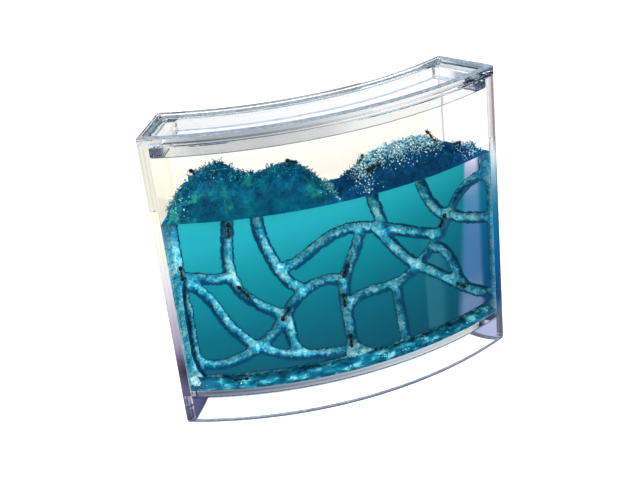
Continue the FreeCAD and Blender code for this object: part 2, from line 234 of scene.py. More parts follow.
@dataclass(frozen=True)
class PolishedAcrylic:
    """Cast acrylic sheet, flame-polished: clear as glass, with sharp reflections and a faint cool cast."""

    name: str = "polished_clear_acrylic"
    body: str = "FBFCFE"
    ior: float = 1.49
    roughness: float = 0.015

    def colour(self, tree: bpy.types.NodeTree) -> bpy.types.NodeSocket | None:
        """Colour that varies over the sheet, or None for the plain body colour."""
        return None

    def make(self) -> bpy.types.Material:
        """Build the material: glass that lets the lamps through, so that what it holds is lit.

        Returns:
            The material.
        """
        material, tree, out = start_material(self.name)
        tint = self.colour(tree) or linear(self.body)
        glass = add_node(tree, "ShaderNodeBsdfPrincipled", {
            "Base Color": tint, "Roughness": self.roughness, "IOR": self.ior,
            "Transmission Weight": 1.0})
        clear = add_node(tree, "ShaderNodeBsdfTransparent", {"Color": tint})
        path = add_node(tree, "ShaderNodeLightPath")
        mix = add_node(tree, "ShaderNodeMixShader", {
            0: path.outputs["Is Shadow Ray"], 1: glass.outputs[0], 2: clear.outputs[0]})
        tree.links.new(mix.outputs[0], out.inputs["Surface"])
        return material


@dataclass(frozen=True)
class TankAcrylic(PolishedAcrylic):
    """Cast acrylic of the tank, its colour set by height and by the distance to either end.

    It is cream and white above the gel. At the foot of each end it carries a painted reflection, dark violet
    on the left and lavender on the right, with a thin line of cement in each.
    """

    name: str = "tank_clear_acrylic"
    cream: tuple = ((0.74, "EEEBE3"), (0.86, "F1EFE9"), (1.0, "FAFAF8"))
    height: float = 143.1           # mm
    gel_line: float = 106.0         # mm
    end_reach: float = 4.2          # mm from the end's outer face over which the painted reflection shows
    # Painted reflection at the foot of each end, by height; pale higher up.
    left_end: tuple = ((0.0, "3E4470"), (0.09, "4A4C78"), (0.12, "D8DCE6"), (0.16, "F0F4F8"), (0.74, "F4F6F6"),
                       (0.76, "F8F4E6"), (1.0, "F6F5EA"))
    right_end: tuple = ((0.0, "98A0C8"), (0.09, "A0AACC"), (0.12, "DCE2EC"), (0.16, "F0F4F8"), (0.74, "F4F6F8"),
                        (0.76, "FAF8F8"), (1.0, "F8F5F6"))
    plate: tuple = ((0.0, "8088A0"), (0.25, "A0AABC"), (0.5, "B8C4D2"), (0.7, "DCE8F0"), (0.85, "F0F6FA"),
                    (1.0, "F0F4F8"))
    plate_at: tuple = (15.4, 1.75)  # mm above the table and mm to either side, the floor plate's cemented edge
    left_seam: tuple = ((0.0, "8C86A4"), (0.12, "D0CCD8"), (0.5, "DCDAE0"), (0.8, "DEDCCC"), (1.0, "DAD8C8"))
    right_seam: tuple = ((0.0, "8088B0"), (0.12, "C8D4E4"), (0.72, "DCE6EE"), (0.77, "8A7480"), (1.0, "92808A"))
    back_corner: str = "C8B6BE"     # cement of the right end wall and the back panel
    left_line: tuple = (3.0, 0.6)   # mm from the end's outer face and mm wide, the cement's line
    right_line: tuple = (2.2, 1.7)
    back_line: tuple = (1.4, 1.3)   # mm from the end's outer face and mm to either side
    behind: float = 18.0            # mm along Y past which the back corner lies
    blend: float = 3.0              # mm above and below the gel's top over which the cream comes in
    cream_fade: tuple = (72.0, 52.0)    # mm along X between which it comes in from the right
    end_blend: float = 0.4          # mm over which the painted reflection at an end gives out
    half_width: float = 85.0        # mm, where the floor plate's colours end

    def colour(self, tree: bpy.types.NodeTree) -> bpy.types.NodeSocket:
        """Colour from the height and the distance to either end.

        Args:
            tree: Node tree of the material.

        Returns:
            The socket that gives the colour.
        """
        plan = BowedPlan()
        place = add_node(tree, "ShaderNodeTexCoord").outputs["Object"]
        axes = add_node(tree, "ShaderNodeSeparateXYZ", {0: place})
        rise = add_node(tree, "ShaderNodeMath", {0: axes.outputs["Z"], 1: self.height * MM}, operation="DIVIDE")
        above = add_node(tree, "ShaderNodeMapRange", {
            "Value": axes.outputs["Z"], "From Min": (self.gel_line - self.blend) * MM,
            "From Max": (self.gel_line + self.blend) * MM})
        rightmost = add_node(tree, "ShaderNodeMapRange", {
            "Value": axes.outputs["X"], "From Min": self.cream_fade[0] * MM,
            "From Max": self.cream_fade[1] * MM})
        share = add_node(tree, "ShaderNodeMath", {0: above.outputs[0], 1: rightmost.outputs[0]},
                         operation="MULTIPLY")
        warm = add_node(tree, "ShaderNodeValToRGB", {0: rise.outputs[0]}, stops=self.cream)
        tint = add_node(tree, "ShaderNodeMix", {
            0: share.outputs[0], 6: linear(self.body), 7: warm.outputs["Color"]}, data_type="RGBA")
        level = add_node(tree, "ShaderNodeMath", {
            0: axes.outputs["Z"], 1: self.plate_at[0] * MM, 2: self.plate_at[1] * MM}, operation="COMPARE")
        width = add_node(tree, "ShaderNodeMapRange", {
            "Value": axes.outputs["X"], "From Min": -self.half_width * MM, "From Max": self.half_width * MM})
        joint = add_node(tree, "ShaderNodeValToRGB", {0: width.outputs[0]}, stops=self.plate)
        tint = add_node(tree, "ShaderNodeMix", {
            0: level.outputs[0], 6: tint.outputs[2], 7: joint.outputs["Color"]}, data_type="RGBA")
        for side, painted_marks, lines, (line_at, line_wide) in (
                (-1, self.left_end, self.left_seam, self.left_line),
                (1, self.right_end, self.right_seam, self.right_line)):
            inward = (-side * math.cos(plan.half_angle), -math.sin(plan.half_angle), 0.0)
            along = add_node(tree, "ShaderNodeVectorMath", {0: place, 1: inward}, operation="DOT_PRODUCT")
            end_plane = -plan.centre_y * MM * math.sin(plan.half_angle)
            apart = add_node(tree, "ShaderNodeMath", {0: along.outputs["Value"], 1: end_plane},
                             operation="SUBTRACT")
            near = add_node(tree, "ShaderNodeMapRange", {
                "Value": apart.outputs[0], "From Min": (self.end_reach + self.end_blend) * MM,
                "From Max": self.end_reach * MM})
            # The end's colours by height, with its painted reflection at the foot, mixed in near its outer face.
            painted_mark = add_node(tree, "ShaderNodeValToRGB", {0: rise.outputs[0]}, stops=painted_marks)
            tint = add_node(tree, "ShaderNodeMix", {
                0: near.outputs[0], 6: tint.outputs[2], 7: painted_mark.outputs["Color"]}, data_type="RGBA")
            line = add_node(tree, "ShaderNodeMath", {
                0: apart.outputs[0], 1: line_at * MM, 2: line_wide / 2 * MM}, operation="COMPARE")
            cement = add_node(tree, "ShaderNodeValToRGB", {0: rise.outputs[0]}, stops=lines)
            tint = add_node(tree, "ShaderNodeMix", {
                0: line.outputs[0], 6: tint.outputs[2], 7: cement.outputs["Color"]}, data_type="RGBA")
        behind = add_node(tree, "ShaderNodeMath", {0: axes.outputs["Y"], 1: self.behind * MM},
                          operation="GREATER_THAN")
        joined = add_node(tree, "ShaderNodeMath", {
            0: apart.outputs[0], 1: self.back_line[0] * MM, 2: self.back_line[1] * MM}, operation="COMPARE")
        corner = add_node(tree, "ShaderNodeMath", {0: behind.outputs[0], 1: joined.outputs[0]},
                          operation="MULTIPLY")
        tint = add_node(tree, "ShaderNodeMix", {
            0: corner.outputs[0], 6: tint.outputs[2], 7: linear(self.back_corner)}, data_type="RGBA")
        return tint.outputs[2]


@dataclass(frozen=True)
class CastAcrylic(PolishedAcrylic):
    """Polished acrylic face over thick edges, with painted shade: grey where they would hold the room's shade,
    dark at the blocks.
    """

    cast: tuple = ()                # (mm along X, hex) of the painted shade, from left to right
    reach: float = 90.0             # mm from the middle to where the ramp ends

    def colour(self, tree: bpy.types.NodeTree) -> bpy.types.NodeSocket:
        """Colour from the place along the lid.

        Args:
            tree: Node tree of the material.

        Returns:
            The socket that gives the colour.
        """
        place = add_node(tree, "ShaderNodeTexCoord").outputs["Object"]
        axes = add_node(tree, "ShaderNodeSeparateXYZ", {0: place})
        share = add_node(tree, "ShaderNodeMapRange", {
            "Value": axes.outputs["X"], "From Min": -self.reach * MM, "From Max": self.reach * MM})
        stops = [((at + self.reach) / (2 * self.reach), colour) for at, colour in self.cast]
        return add_node(tree, "ShaderNodeValToRGB", {0: share.outputs[0]}, stops=stops).outputs["Color"]


@dataclass(frozen=True)
class SandedAcrylic:
    """Acrylic edge left as the saw and sandpaper leave it: a matt line where the sheets are clear, its grey
    painted shade.
    """

    name: str = "sanded_acrylic_edge"
    # Painted shade: the two greys of the edge, streaked by the saw marks.
    dark: str = "5E6C7C"
    pale: str = "8A97A6"
    scratch: float = 1.5            # mm, saw marks, drawn coarser than real ones so that they show
    clearness: float = 0.25
    ior: float = 1.49
    roughness: float = 0.5
    gloss: float = 0.3

    def make(self) -> bpy.types.Material:
        """Build the material, streaked by the saw.

        Returns:
            The material.
        """
        material, tree, out = start_material(self.name)
        place = add_node(tree, "ShaderNodeTexCoord").outputs["Object"]
        marks = add_node(tree, "ShaderNodeTexNoise", {
            "Vector": place, "Scale": 1 / (self.scratch * MM), "Detail": 2.0})
        tone = add_node(tree, "ShaderNodeValToRGB", {0: marks.outputs[0]},
                        stops=((0.35, self.dark), (0.65, self.pale)))
        edge = add_node(tree, "ShaderNodeBsdfPrincipled", {
            "Base Color": tone.outputs["Color"], "Roughness": self.roughness, "IOR": self.ior,
            "Transmission Weight": self.clearness, "Specular IOR Level": self.gloss})
        tree.links.new(edge.outputs[0], out.inputs["Surface"])
        return material


@dataclass(frozen=True)
class ReflectionPaintedCement:
    """Solvent cement, run between two sheets, its colour by height a painted reflection that the end wall shows
    beside the gel.
    """

    name: str
    shades: tuple                   # (mm above the table, hex) of the painted reflection
    bubble: float = 1.4             # mm, drawn coarser than real ones so that they show
    reach: float = 110.0            # mm above the table where the ramp ends
    wander: float = 5.0             # mm that the bubbles move its shades
    ior: float = 1.45
    roughness: float = 0.5
    gloss: float = 0.0              # it is wetted by the sheets on both sides, which leaves it no gloss

    def make(self) -> bpy.types.Material:
        """Build the material, its painted reflection laid by height, the bubbles shifting it.

        Returns:
            The material.
        """
        material, tree, out = start_material(self.name)
        place = add_node(tree, "ShaderNodeTexCoord").outputs["Object"]
        axes = add_node(tree, "ShaderNodeSeparateXYZ", {0: place})
        bubbles = add_node(tree, "ShaderNodeTexNoise", {
            "Vector": place, "Scale": 1 / (self.bubble * MM), "Detail": 2.0})
        shifted = add_node(tree, "ShaderNodeMath", {
            0: bubbles.outputs[0], 1: self.wander * MM, 2: axes.outputs["Z"]}, operation="MULTIPLY_ADD")
        height = add_node(tree, "ShaderNodeMath", {0: shifted.outputs[0], 1: self.reach * MM},
                          operation="DIVIDE")
        stops = [((at + self.wander / 2) / self.reach, colour) for at, colour in self.shades]
        tone = add_node(tree, "ShaderNodeValToRGB", {0: height.outputs[0]}, stops=stops)
        cement = add_node(tree, "ShaderNodeBsdfPrincipled", {
            "Base Color": tone.outputs["Color"], "Roughness": self.roughness, "IOR": self.ior,
            "Specular IOR Level": self.gloss})
        tree.links.new(cement.outputs[0], out.inputs["Surface"])
        return material


@dataclass(frozen=True)
class ClearGel:
    """Agar gel dyed blue-green, cast in the tank: smooth, with painted light near its top and painted shade
    lower down.
    """

    name: str = "cast_blue_gel"
    ior: float = 1.34
    roughness: float = 0.12
    clearness: float = 0.12
    foot: float = 17.0              # mm above the table
    top: float = 106.0
    stops: tuple = (                # from its foot to its top, painted lighter upwards as light from above
        (0.0, "0E5164"), (0.12, "125A6E"), (0.30, "126478"), (0.50, "107284"), (0.78, "148F9A"), (1.0, "26A8B4"))
    painted_marks: tuple = (
        ("glint", ((0.0, "2A7486"), (0.3, "2C788A"), (0.7, "2C8490"), (1.0, "26A8B4"))),    # painted glint: the back corner seen through the gel
        ("painted_wall_view", ((0.0, "7890B8"), (0.18, "7898BC"), (0.32, "5484B2"), (0.55, "5488B6"), (0.78, "5A9AC2"),
                  (0.93, "B2B6DA"), (1.0, "EADFF4"))),      # painted view of the end wall through the gel
        ("stain_and_painted_shade", ((0.0, "083A66"), (0.2, "0A5A8C"), (0.5, "0A6494"), (0.8, "12789C"),
                   (1.0, "0C5A7C"))))                       # painted shade at the ends
    lean: float = -0.16             # mm that the colours sink for each mm to the right, painted shade away from the light at the left
    drift: float = 8.0              # mm that a soft cloud moves them up or down
    cloud: float = 45.0             # mm, size of the cloud
    wet_gloss: float = 0.0          # the gel wets the acrylic, which leaves it no gloss of its own

    def make(self) -> bpy.types.Material:
        """Build the material, its colour painted darker from the top down and from left to right, as shade.

        Returns:
            The material.
        """
        material, tree, out = start_material(self.name)
        place = add_node(tree, "ShaderNodeTexCoord")
        axes = add_node(tree, "ShaderNodeSeparateXYZ", {0: place.outputs["Object"]})
        cloud = add_node(tree, "ShaderNodeTexNoise", {
            "Vector": place.outputs["Object"], "Scale": 1 / (self.cloud * MM), "Detail": 1.0})
        lean = add_node(tree, "ShaderNodeMath", {0: axes.outputs["X"], 1: self.lean, 2: axes.outputs["Z"]},
                        operation="MULTIPLY_ADD")
        drift = add_node(tree, "ShaderNodeMath", {0: cloud.outputs[0], 1: self.drift * MM, 2: lean.outputs[0]},
                         operation="MULTIPLY_ADD")
        height = add_node(tree, "ShaderNodeMapRange", {
            "Value": drift.outputs[0], "From Min": self.foot * MM, "From Max": self.top * MM})
        level = add_node(tree, "ShaderNodeMapRange", {
            "Value": axes.outputs["Z"], "From Min": self.foot * MM, "From Max": self.top * MM})
        colour = add_node(tree, "ShaderNodeValToRGB", {0: height.outputs[0]},
                          stops=self.stops).outputs["Color"]
        for mark, stops in self.painted_marks:
            share = add_node(tree, "ShaderNodeAttribute", attribute_name=mark)
            painted_mark = add_node(tree, "ShaderNodeValToRGB", {0: level.outputs[0]}, stops=stops)
            colour = add_node(tree, "ShaderNodeMix", {
                0: share.outputs["Fac"], 6: colour, 7: painted_mark.outputs["Color"]}, data_type="RGBA").outputs[2]
        gel = add_node(tree, "ShaderNodeBsdfPrincipled", {
            "Base Color": colour, "Roughness": self.roughness, "IOR": self.ior,
            "Transmission Weight": self.clearness, "Specular IOR Level": self.wet_gloss})
        tree.links.new(gel.outputs[0], out.inputs["Surface"])
        return material


@dataclass(frozen=True)
class DugGel:
    """Wall of a tunnel: gel torn by jaws into pale wet grit, with painted shade along the rim where it is
    undercut and a painted highlight along its middle.
    """

    name: str = "dug_gel_wall"
    grain: float = 2.2              # mm, bites of the jaws
    grit: float = 1.1               # mm, grit on them
    clump: float = 6.0              # mm, paler and darker stretches
    # The rim's colour is painted shade; the others are tones of the torn wall, paler towards a tunnel's middle
    # as painted highlight.
    rim: str = "02405E"
    shade: str = "086A8C"
    body: str = "1A94B2"
    light: str = "44B8CA"
    bright: str = "78CCD4"
    spark: str = "AEE6E4"
    deep: str = "08588E"            # painted shade by the end walls
    grit_share: float = 0.75        # how much the grit, the bites and the depth of the bore lighten the gel, the depth as a painted highlight along a tunnel's middle
    bite_share: float = -0.25
    core_share: float = 0.38
    tones: tuple = (0.60, 1.30)     # their sum where the gel is darkest and brightest
    ragged: float = 0.30            # how far the same grit frays the rim
    rim_at: tuple = (0.80, 1.02)    # share of digging between which the rim gives way to the wall
    relief: float = 0.3             # mm
    relief_strength: float = 0.5
    ior: float = 1.34
    roughness: float = 0.45
    gloss: float = 0.2

    def make(self) -> bpy.types.Material:
        """Build the material from the mesh's own share of digging, named bore.

        Returns:
            The material.
        """
        material, tree, out = start_material(self.name)
        place = add_node(tree, "ShaderNodeTexCoord").outputs["Object"]
        grit = add_node(tree, "ShaderNodeTexNoise", {
            "Vector": place, "Scale": 1 / (self.grit * MM), "Detail": 2.0, "Roughness": 0.6})
        clump = add_node(tree, "ShaderNodeTexNoise", {
            "Vector": place, "Scale": 1 / (self.clump * MM), "Detail": 2.0, "Roughness": 0.6})
        bite = add_node(tree, "ShaderNodeTexVoronoi", {"Vector": place, "Scale": 1 / (self.grain * MM)})
        fine = add_node(tree, "ShaderNodeMath", {0: grit.outputs[0], 1: self.grit_share, 2: clump.outputs[0]},
                        operation="MULTIPLY_ADD")
        mixed = add_node(tree, "ShaderNodeMath", {
            0: bite.outputs["Distance"], 1: self.bite_share, 2: fine.outputs[0]}, operation="MULTIPLY_ADD")
        # Painted highlight along a tunnel's middle, where the bore is deepest.
        core = add_node(tree, "ShaderNodeAttribute", attribute_name="core")
        lit = add_node(tree, "ShaderNodeMath", {0: core.outputs["Fac"], 1: self.core_share, 2: mixed.outputs[0]},
                       operation="MULTIPLY_ADD")
        tone = add_node(tree, "ShaderNodeMapRange", {
            "Value": lit.outputs[0], "From Min": self.tones[0], "From Max": self.tones[1]})
        speckle = add_node(tree, "ShaderNodeValToRGB", {0: tone.outputs[0]}, stops=(
            (0.05, self.rim), (0.24, self.shade), (0.46, self.body), (0.64, self.light), (0.80, self.bright),
            (0.96, self.spark)))
        bore = add_node(tree, "ShaderNodeAttribute", attribute_name="bore")
        frayed = add_node(tree, "ShaderNodeMath", {0: mixed.outputs[0], 1: self.ragged, 2: bore.outputs["Fac"]},
                          operation="MULTIPLY_ADD")
        inside = add_node(tree, "ShaderNodeMapRange", {
            "Value": frayed.outputs[0], "From Min": self.rim_at[0], "From Max": self.rim_at[1]})
        # Painted shade by the end walls, broken up by the clumps.
        stain_and_painted_shade = add_node(tree, "ShaderNodeAttribute", attribute_name="stain_and_painted_shade")
        wet = add_node(tree, "ShaderNodeMath", {0: stain_and_painted_shade.outputs["Fac"], 1: clump.outputs[0]},
                       operation="MULTIPLY")
        painted_deep_blue = add_node(tree, "ShaderNodeMix", {
            0: wet.outputs[0], 6: speckle.outputs["Color"], 7: linear(self.deep)}, data_type="RGBA")
        # Painted shade along the rim, where the wall gives way to it.
        colour = add_node(tree, "ShaderNodeMix", {
            0: inside.outputs[0], 6: linear(self.rim), 7: painted_deep_blue.outputs[2]}, data_type="RGBA")
        bump = add_node(tree, "ShaderNodeBump", {
            "Strength": self.relief_strength, "Distance": self.relief * MM, "Height": mixed.outputs[0]})
        wall = add_node(tree, "ShaderNodeBsdfPrincipled", {
            "Base Color": colour.outputs[2], "Roughness": self.roughness, "IOR": self.ior,
            "Specular IOR Level": self.gloss, "Normal": bump.outputs[0]})
        tree.links.new(wall.outputs[0], out.inputs["Surface"])
        return material


@dataclass(frozen=True)
class GelCrumbs:
    """Crumbs of dug gel: each its own shade, stained in patches, some painted pale as highlights."""

    name: str
    shades: tuple                   # (place, hex) stops over the random shade of a crumb
    pale: tuple                     # the same for the crumbs painted pale as highlights
    patch: str                      # colour of the stained patches
    patch_size: float = 12.0        # mm
    patch_share: float = 0.35
    mottle: float = 3.0             # mm
    streak: float = 1.0             # times that the mottle is drawn out along the table
    spread: float = 1.0             # times that the mottle is sharpened
    contrast: float = 0.35          # how far the shade of one crumb may lie from the next
    patch_edge: tuple = (0.64, 0.3) # level of the noise where a patch starts, and how much the share lowers it
    patch_blend: float = 0.10
    patch_depth: float = 0.8
    stray: tuple = (0.22, 0.4)      # how far the mottle and the crumbs' own shades stray from their middle
    ior: float = 1.34
    roughness: float = 0.45
    gloss: float = 0.06             # torn faces, too small to mirror a lamp

    def make(self) -> bpy.types.Material:
        """Build the material, with one shade to a crumb and stained patches over them.

        Returns:
            The material.
        """
        material, tree, out = start_material(self.name)
        place = add_node(tree, "ShaderNodeTexCoord").outputs["Object"]
        fleck = add_node(tree, "ShaderNodeAttribute", attribute_name="fleck").outputs["Fac"]
        drawn = add_node(tree, "ShaderNodeVectorMath", {0: place, 1: (1 / self.streak, 1 / self.streak, 1.0)},
                         operation="MULTIPLY")
        mottle = add_node(tree, "ShaderNodeTexNoise", {
            "Vector": drawn.outputs[0], "Scale": 1 / (self.mottle * MM), "Detail": 4.0, "Roughness": 0.6})
        blend = add_node(tree, "ShaderNodeMath", {0: fleck, 1: self.contrast, 2: mottle.outputs[0]},
                         operation="MULTIPLY_ADD")
        middle = 0.5 + 0.5 * self.contrast
        reach = (self.stray[0] + self.stray[1] * self.contrast) / self.spread
        tone = add_node(tree, "ShaderNodeMapRange", {
            "Value": blend.outputs[0], "From Min": middle - reach, "From Max": middle + reach})
        shade = add_node(tree, "ShaderNodeValToRGB", {0: tone.outputs[0]}, stops=self.shades)
        stain_and_painted_shade = add_node(tree, "ShaderNodeTexNoise", {
            "Vector": place, "Scale": 1 / (self.patch_size * MM), "Detail": 5.0, "Roughness": 0.65})
        edge = self.patch_edge[0] - self.patch_edge[1] * self.patch_share
        share = add_node(tree, "ShaderNodeMapRange", {
            "Value": stain_and_painted_shade.outputs[0], "From Min": edge, "From Max": edge + self.patch_blend,
            "To Max": self.patch_depth})
        stained = add_node(tree, "ShaderNodeMix", {
            0: share.outputs[0], 6: shade.outputs["Color"], 7: linear(self.patch)}, data_type="RGBA")
        # Painted highlights: the marked crumbs take the pale colours.
        painted_highlight = add_node(tree, "ShaderNodeAttribute", attribute_name="painted_highlight")
        bright = add_node(tree, "ShaderNodeValToRGB", {0: fleck}, stops=self.pale)
        colour = add_node(tree, "ShaderNodeMix", {
            0: painted_highlight.outputs["Fac"], 6: stained.outputs[2], 7: bright.outputs["Color"]}, data_type="RGBA")
        crumb = add_node(tree, "ShaderNodeBsdfPrincipled", {
            "Base Color": colour.outputs[2], "Roughness": self.roughness, "IOR": self.ior,
            "Specular IOR Level": self.gloss})
        tree.links.new(crumb.outputs[0], out.inputs["Surface"])
        return material


@dataclass(frozen=True)
class AntCuticle:
    """Chitin of a harvester ant, hardened and waxed: near black with a faint brown mottle, satin to the eye."""

    name: str = "ant_cuticle"
    dark: str = "030202"
    pale: str = "0C0605"
    mottle: float = 0.8             # mm
    ior: float = 1.55
    roughness: float = 0.35
    gloss: float = 0.25

    def make(self) -> bpy.types.Material:
        """Build the material.

        Returns:
            The material.
        """
        material, tree, out = start_material(self.name)
        place = add_node(tree, "ShaderNodeTexCoord").outputs["Object"]
        mottle = add_node(tree, "ShaderNodeTexNoise", {"Vector": place, "Scale": 1 / (self.mottle * MM)})
        colour = add_node(tree, "ShaderNodeValToRGB", {0: mottle.outputs[0]},
                          stops=((0.35, self.dark), (0.65, self.pale)))
        shell = add_node(tree, "ShaderNodeBsdfPrincipled", {
            "Base Color": colour.outputs["Color"], "Roughness": self.roughness, "IOR": self.ior,
            "Specular IOR Level": self.gloss})
        tree.links.new(shell.outputs[0], out.inputs["Surface"])
        return material


# ---- the bowed plan ---------------------------------------------------------------------------


@dataclass(frozen=True)
class BowedPlan:
    """Plan of the tank seen from above: a sector of a ring with its ends along the radii."""

    front_radius: float = 181.0     # mm, outer face of the front panel
    depth: float = 33.0
    half_angle: float = math.radians(28.0)

    @property
    def back_radius(self) -> float:
        """Radius of the outer face of the back panel, in mm."""
        return self.front_radius - self.depth

    @property
    def centre_y(self) -> float:
        """Place of the ring's axis along Y, in mm."""
        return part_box("front_panel")[0].y / MM + self.front_radius

    def place(self, radius: np.ndarray, angle: np.ndarray, height: np.ndarray) -> np.ndarray:
        """Turn places on the plan into points.

        Args:
            radius: Distance from the ring's axis, in mm.
            angle: Angle from the middle, in radians.
            height: Height above the table, in mm.

        Returns:
            Points in metres, one for each place.
        """
        radius, angle, height = np.broadcast_arrays(radius, angle, height)
        return np.stack([radius * np.sin(angle), self.centre_y - radius * np.cos(angle), height],
                        axis=-1) * MM

    def outline(self, front: float, back: float, inset: float, corner: float,
                arc_steps: int = 72, corner_steps: int = 5) -> np.ndarray:
        """Closed outline with rounded corners, once round counter-clockwise from the left front.

        Args:
            front: Radius of the front arc, in mm.
            back: Radius of the back arc, in mm.
            inset: Distance of the ends inside the plan's own ends, in mm.
            corner: Radius of the corners, in mm.
            arc_steps: Steps along each arc.
            corner_steps: Steps round each corner.

        Returns:
            One row of x, y in mm for each point.
        """
        points = []
        front_end = self.half_angle - math.asin((inset + corner) / (front - corner))
        back_end = self.half_angle - math.asin((inset + corner) / (back + corner))
        side_right, side_left = self.half_angle, math.pi - self.half_angle
        turns = {
            "front_right": (front - corner, front_end, front_end - math.pi / 2, side_right),
            "back_right": (back + corner, back_end, side_right, back_end + math.pi / 2),
            "back_left": (back + corner, -back_end, math.pi / 2 - back_end, side_left),
            "front_left": (front - corner, -front_end, side_left, 1.5 * math.pi - front_end),
        }

        def arc(radius: float, start: float, end: float) -> None:
            """Add the points of an arc, without its two ends.

            Args:
                radius: Radius of the arc, in mm.
                start: Angle of its first end, in radians.
                end: Angle of its other end, in radians.
            """
            for share in np.linspace(0, 1, arc_steps + 1)[1:-1]:
                angle = start + (end - start) * share
                points.append((radius * math.sin(angle), self.centre_y - radius * math.cos(angle)))

        def turn(name: str) -> None:
            """Add the points of a rounded corner.

            Args:
                name: Name of the corner.
            """
            radius, at, start, end = turns[name]
            for share in np.linspace(0, 1, corner_steps + 1):
                way = start + (end - start) * share
                points.append((radius * math.sin(at) + corner * math.cos(way),
                               self.centre_y - radius * math.cos(at) + corner * math.sin(way)))

        arc(front, -front_end, front_end)
        turn("front_right")
        turn("back_right")
        arc(back, back_end, -back_end)
        turn("back_left")
        turn("front_left")
        return np.array(points)


class Around(Enum):
    """Which part of a band round the tank or lid takes another finish."""

    FRONT = "front"
    REST = "rest"
    ALL = "all"


def stacked_shell(name: str, loops: list[tuple[np.ndarray, float]], materials: list[bpy.types.Material],
                  bands: dict[int, tuple[Around, int]] | None = None) -> bpy.types.Object:
    """Closed shell through a run of outlines, the first and the last closed by a flat face.

    Args:
        name: Name of the piece.
        loops: Outlines of equally many points in mm, each with its height in mm.
        materials: Materials of the piece.
        bands: Where a band between two outlines takes another material, and that material's number.

    Returns:
        The new object.
    """
    count = len(loops[0][0])
    points = np.concatenate([np.column_stack([outline, np.full(count, height)]) for outline, height in loops])
    faces = [tuple(range(count)), tuple((len(loops) - 1) * count + k for k in reversed(range(count)))]
    for row in range(len(loops) - 1):
        for here in range(count):
            there = (here + 1) % count
            faces.append((row * count + here, (row + 1) * count + here,
                          (row + 1) * count + there, row * count + there))
    slots = [0, 0]
    plan = BowedPlan()
    for row in range(len(loops) - 1):
        where, slot = (bands or {}).get(row, (Around.ALL, 0))
        radius = np.linalg.norm(loops[row][0] - np.array([0, plan.centre_y]), axis=1)
        front = radius > plan.front_radius - FRONT_BAND
        taken = {Around.ALL: front | ~front, Around.FRONT: front, Around.REST: ~front}[where]
        slots += np.where(taken, slot, 0).tolist()
    return make_piece(name, points * MM, faces, materials, np.array(slots))


# ---- the tank and its lid ---------------------------------------------------------------------


@dataclass
class Tank:
    """Clear tank: four walls, a raised floor and the skirt that the walls make below it."""

    plan: BowedPlan
    height: float = 143.1
    panel: float = 2.8
    end: float = 4.0
    floor_underside: float = 14.0
    floor_top: float = 17.0
    corner: float = 1.2
    bevel: float = 0.35
    foot_round: float = 0.9         # flame-polished edge that the tank stands on
    foot_turns: tuple = (0, 30, 60, 90)     # degrees, steps round that edge
    inner_corner: float = 0.8
    bead: float = 0.8               # line of cement under the floor plate
    nodes: tuple = ("front_panel", "back_panel", "left_end_wall", "right_end_wall", "floor_plate")

    def build(self, acrylic: bpy.types.Material, edge: bpy.types.Material) -> bpy.types.Object:
        """Build the tank as one clear body.

        Args:
            acrylic: Finish of the sheets.
            edge: Finish of the sawn edge that it stands on.

        Returns:
            The piece.
        """
        front, back = self.plan.front_radius, self.plan.back_radius

        def outer(shrink: float) -> np.ndarray:
            """Outline of the outer faces, drawn in by so many mm."""
            return self.plan.outline(front - shrink, back + shrink, shrink, self.corner - shrink * 0.5)

        def inner(grow: float) -> np.ndarray:
            """Outline of the inner faces, let out by so many mm."""
            return self.plan.outline(front - self.panel + grow, back + self.panel - grow,
                                     self.end - grow, self.inner_corner)

        walls = [(inner(0), self.floor_top), (inner(0), self.height - self.bevel),
                 (inner(self.bevel), self.height), (outer(self.bevel), self.height),
                 (outer(0), self.height - self.bevel)]
        turns = [math.radians(angle) for angle in self.foot_turns]
        foot = [(outer(self.foot_round * (1 - math.cos(t))), self.foot_round * (1 - math.sin(t)))
                for t in turns]
        foot += [(inner(self.foot_round * (1 - math.sin(t))), self.foot_round * (1 - math.cos(t)))
                 for t in turns]
        under = [(inner(0), self.floor_underside - self.bead), (inner(0), self.floor_underside)]
        loops = walls + foot + under
        matt = [*range(len(walls), len(walls) + len(foot) - 1), len(loops) - len(under)]    # foot and bead, in the sanded finish with its painted grey shade
        piece = stacked_shell("tank", loops, [acrylic, edge], dict.fromkeys(matt, (Around.FRONT, 1)))
        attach(piece, "tank")
        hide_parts(*self.nodes)
        LOG.info("tank: %d faces", len(piece.data.polygons))
        return piece


class Side(Enum):
    """Left or right half of the habitat."""

    LEFT = "left"
    RIGHT = "right"


@dataclass
class CementLayer:
    """Cement layer in the joint of the front panel and one end wall, beside the gel, carrying that end's painted
    reflection.
    """

    plan: BowedPlan
    tank: Tank
    side: Side
    thickness: float = 0.12         # mm
    margin: float = 0.12            # mm to the outer face of the end wall
    top: float = 112.0              # mm, just above the gel, past which the cement is clear

    def build(self, cement: bpy.types.Material) -> bpy.types.Object:
        """Build the layer, inside the acrylic.

        Args:
            cement: Finish of the cement.

        Returns:
            The piece.
        """
        middle = self.plan.front_radius - self.tank.panel
        hand = -1 if self.side is Side.LEFT else 1
        corners = []
        for height in (self.tank.floor_underside, self.top):
            for radius in (middle + self.thickness / 2, middle - self.thickness / 2):
                for inset in (self.margin, self.tank.end - self.margin):
                    angle = hand * (self.plan.half_angle - math.asin(inset / radius))
                    corners.append(self.plan.place(radius, angle, height))
        faces = [(0, 1, 3, 2), (4, 6, 7, 5), (0, 4, 5, 1), (2, 3, 7, 6), (0, 2, 6, 4), (1, 5, 7, 3)]
        if hand < 0:
            faces = [face[::-1] for face in faces]
        piece = make_piece(f"{self.side.value}_cement", np.array(corners), faces, [cement], crease=None)
        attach(piece, "tank")
        LOG.info("%s cement joint", self.side.value)
        return piece


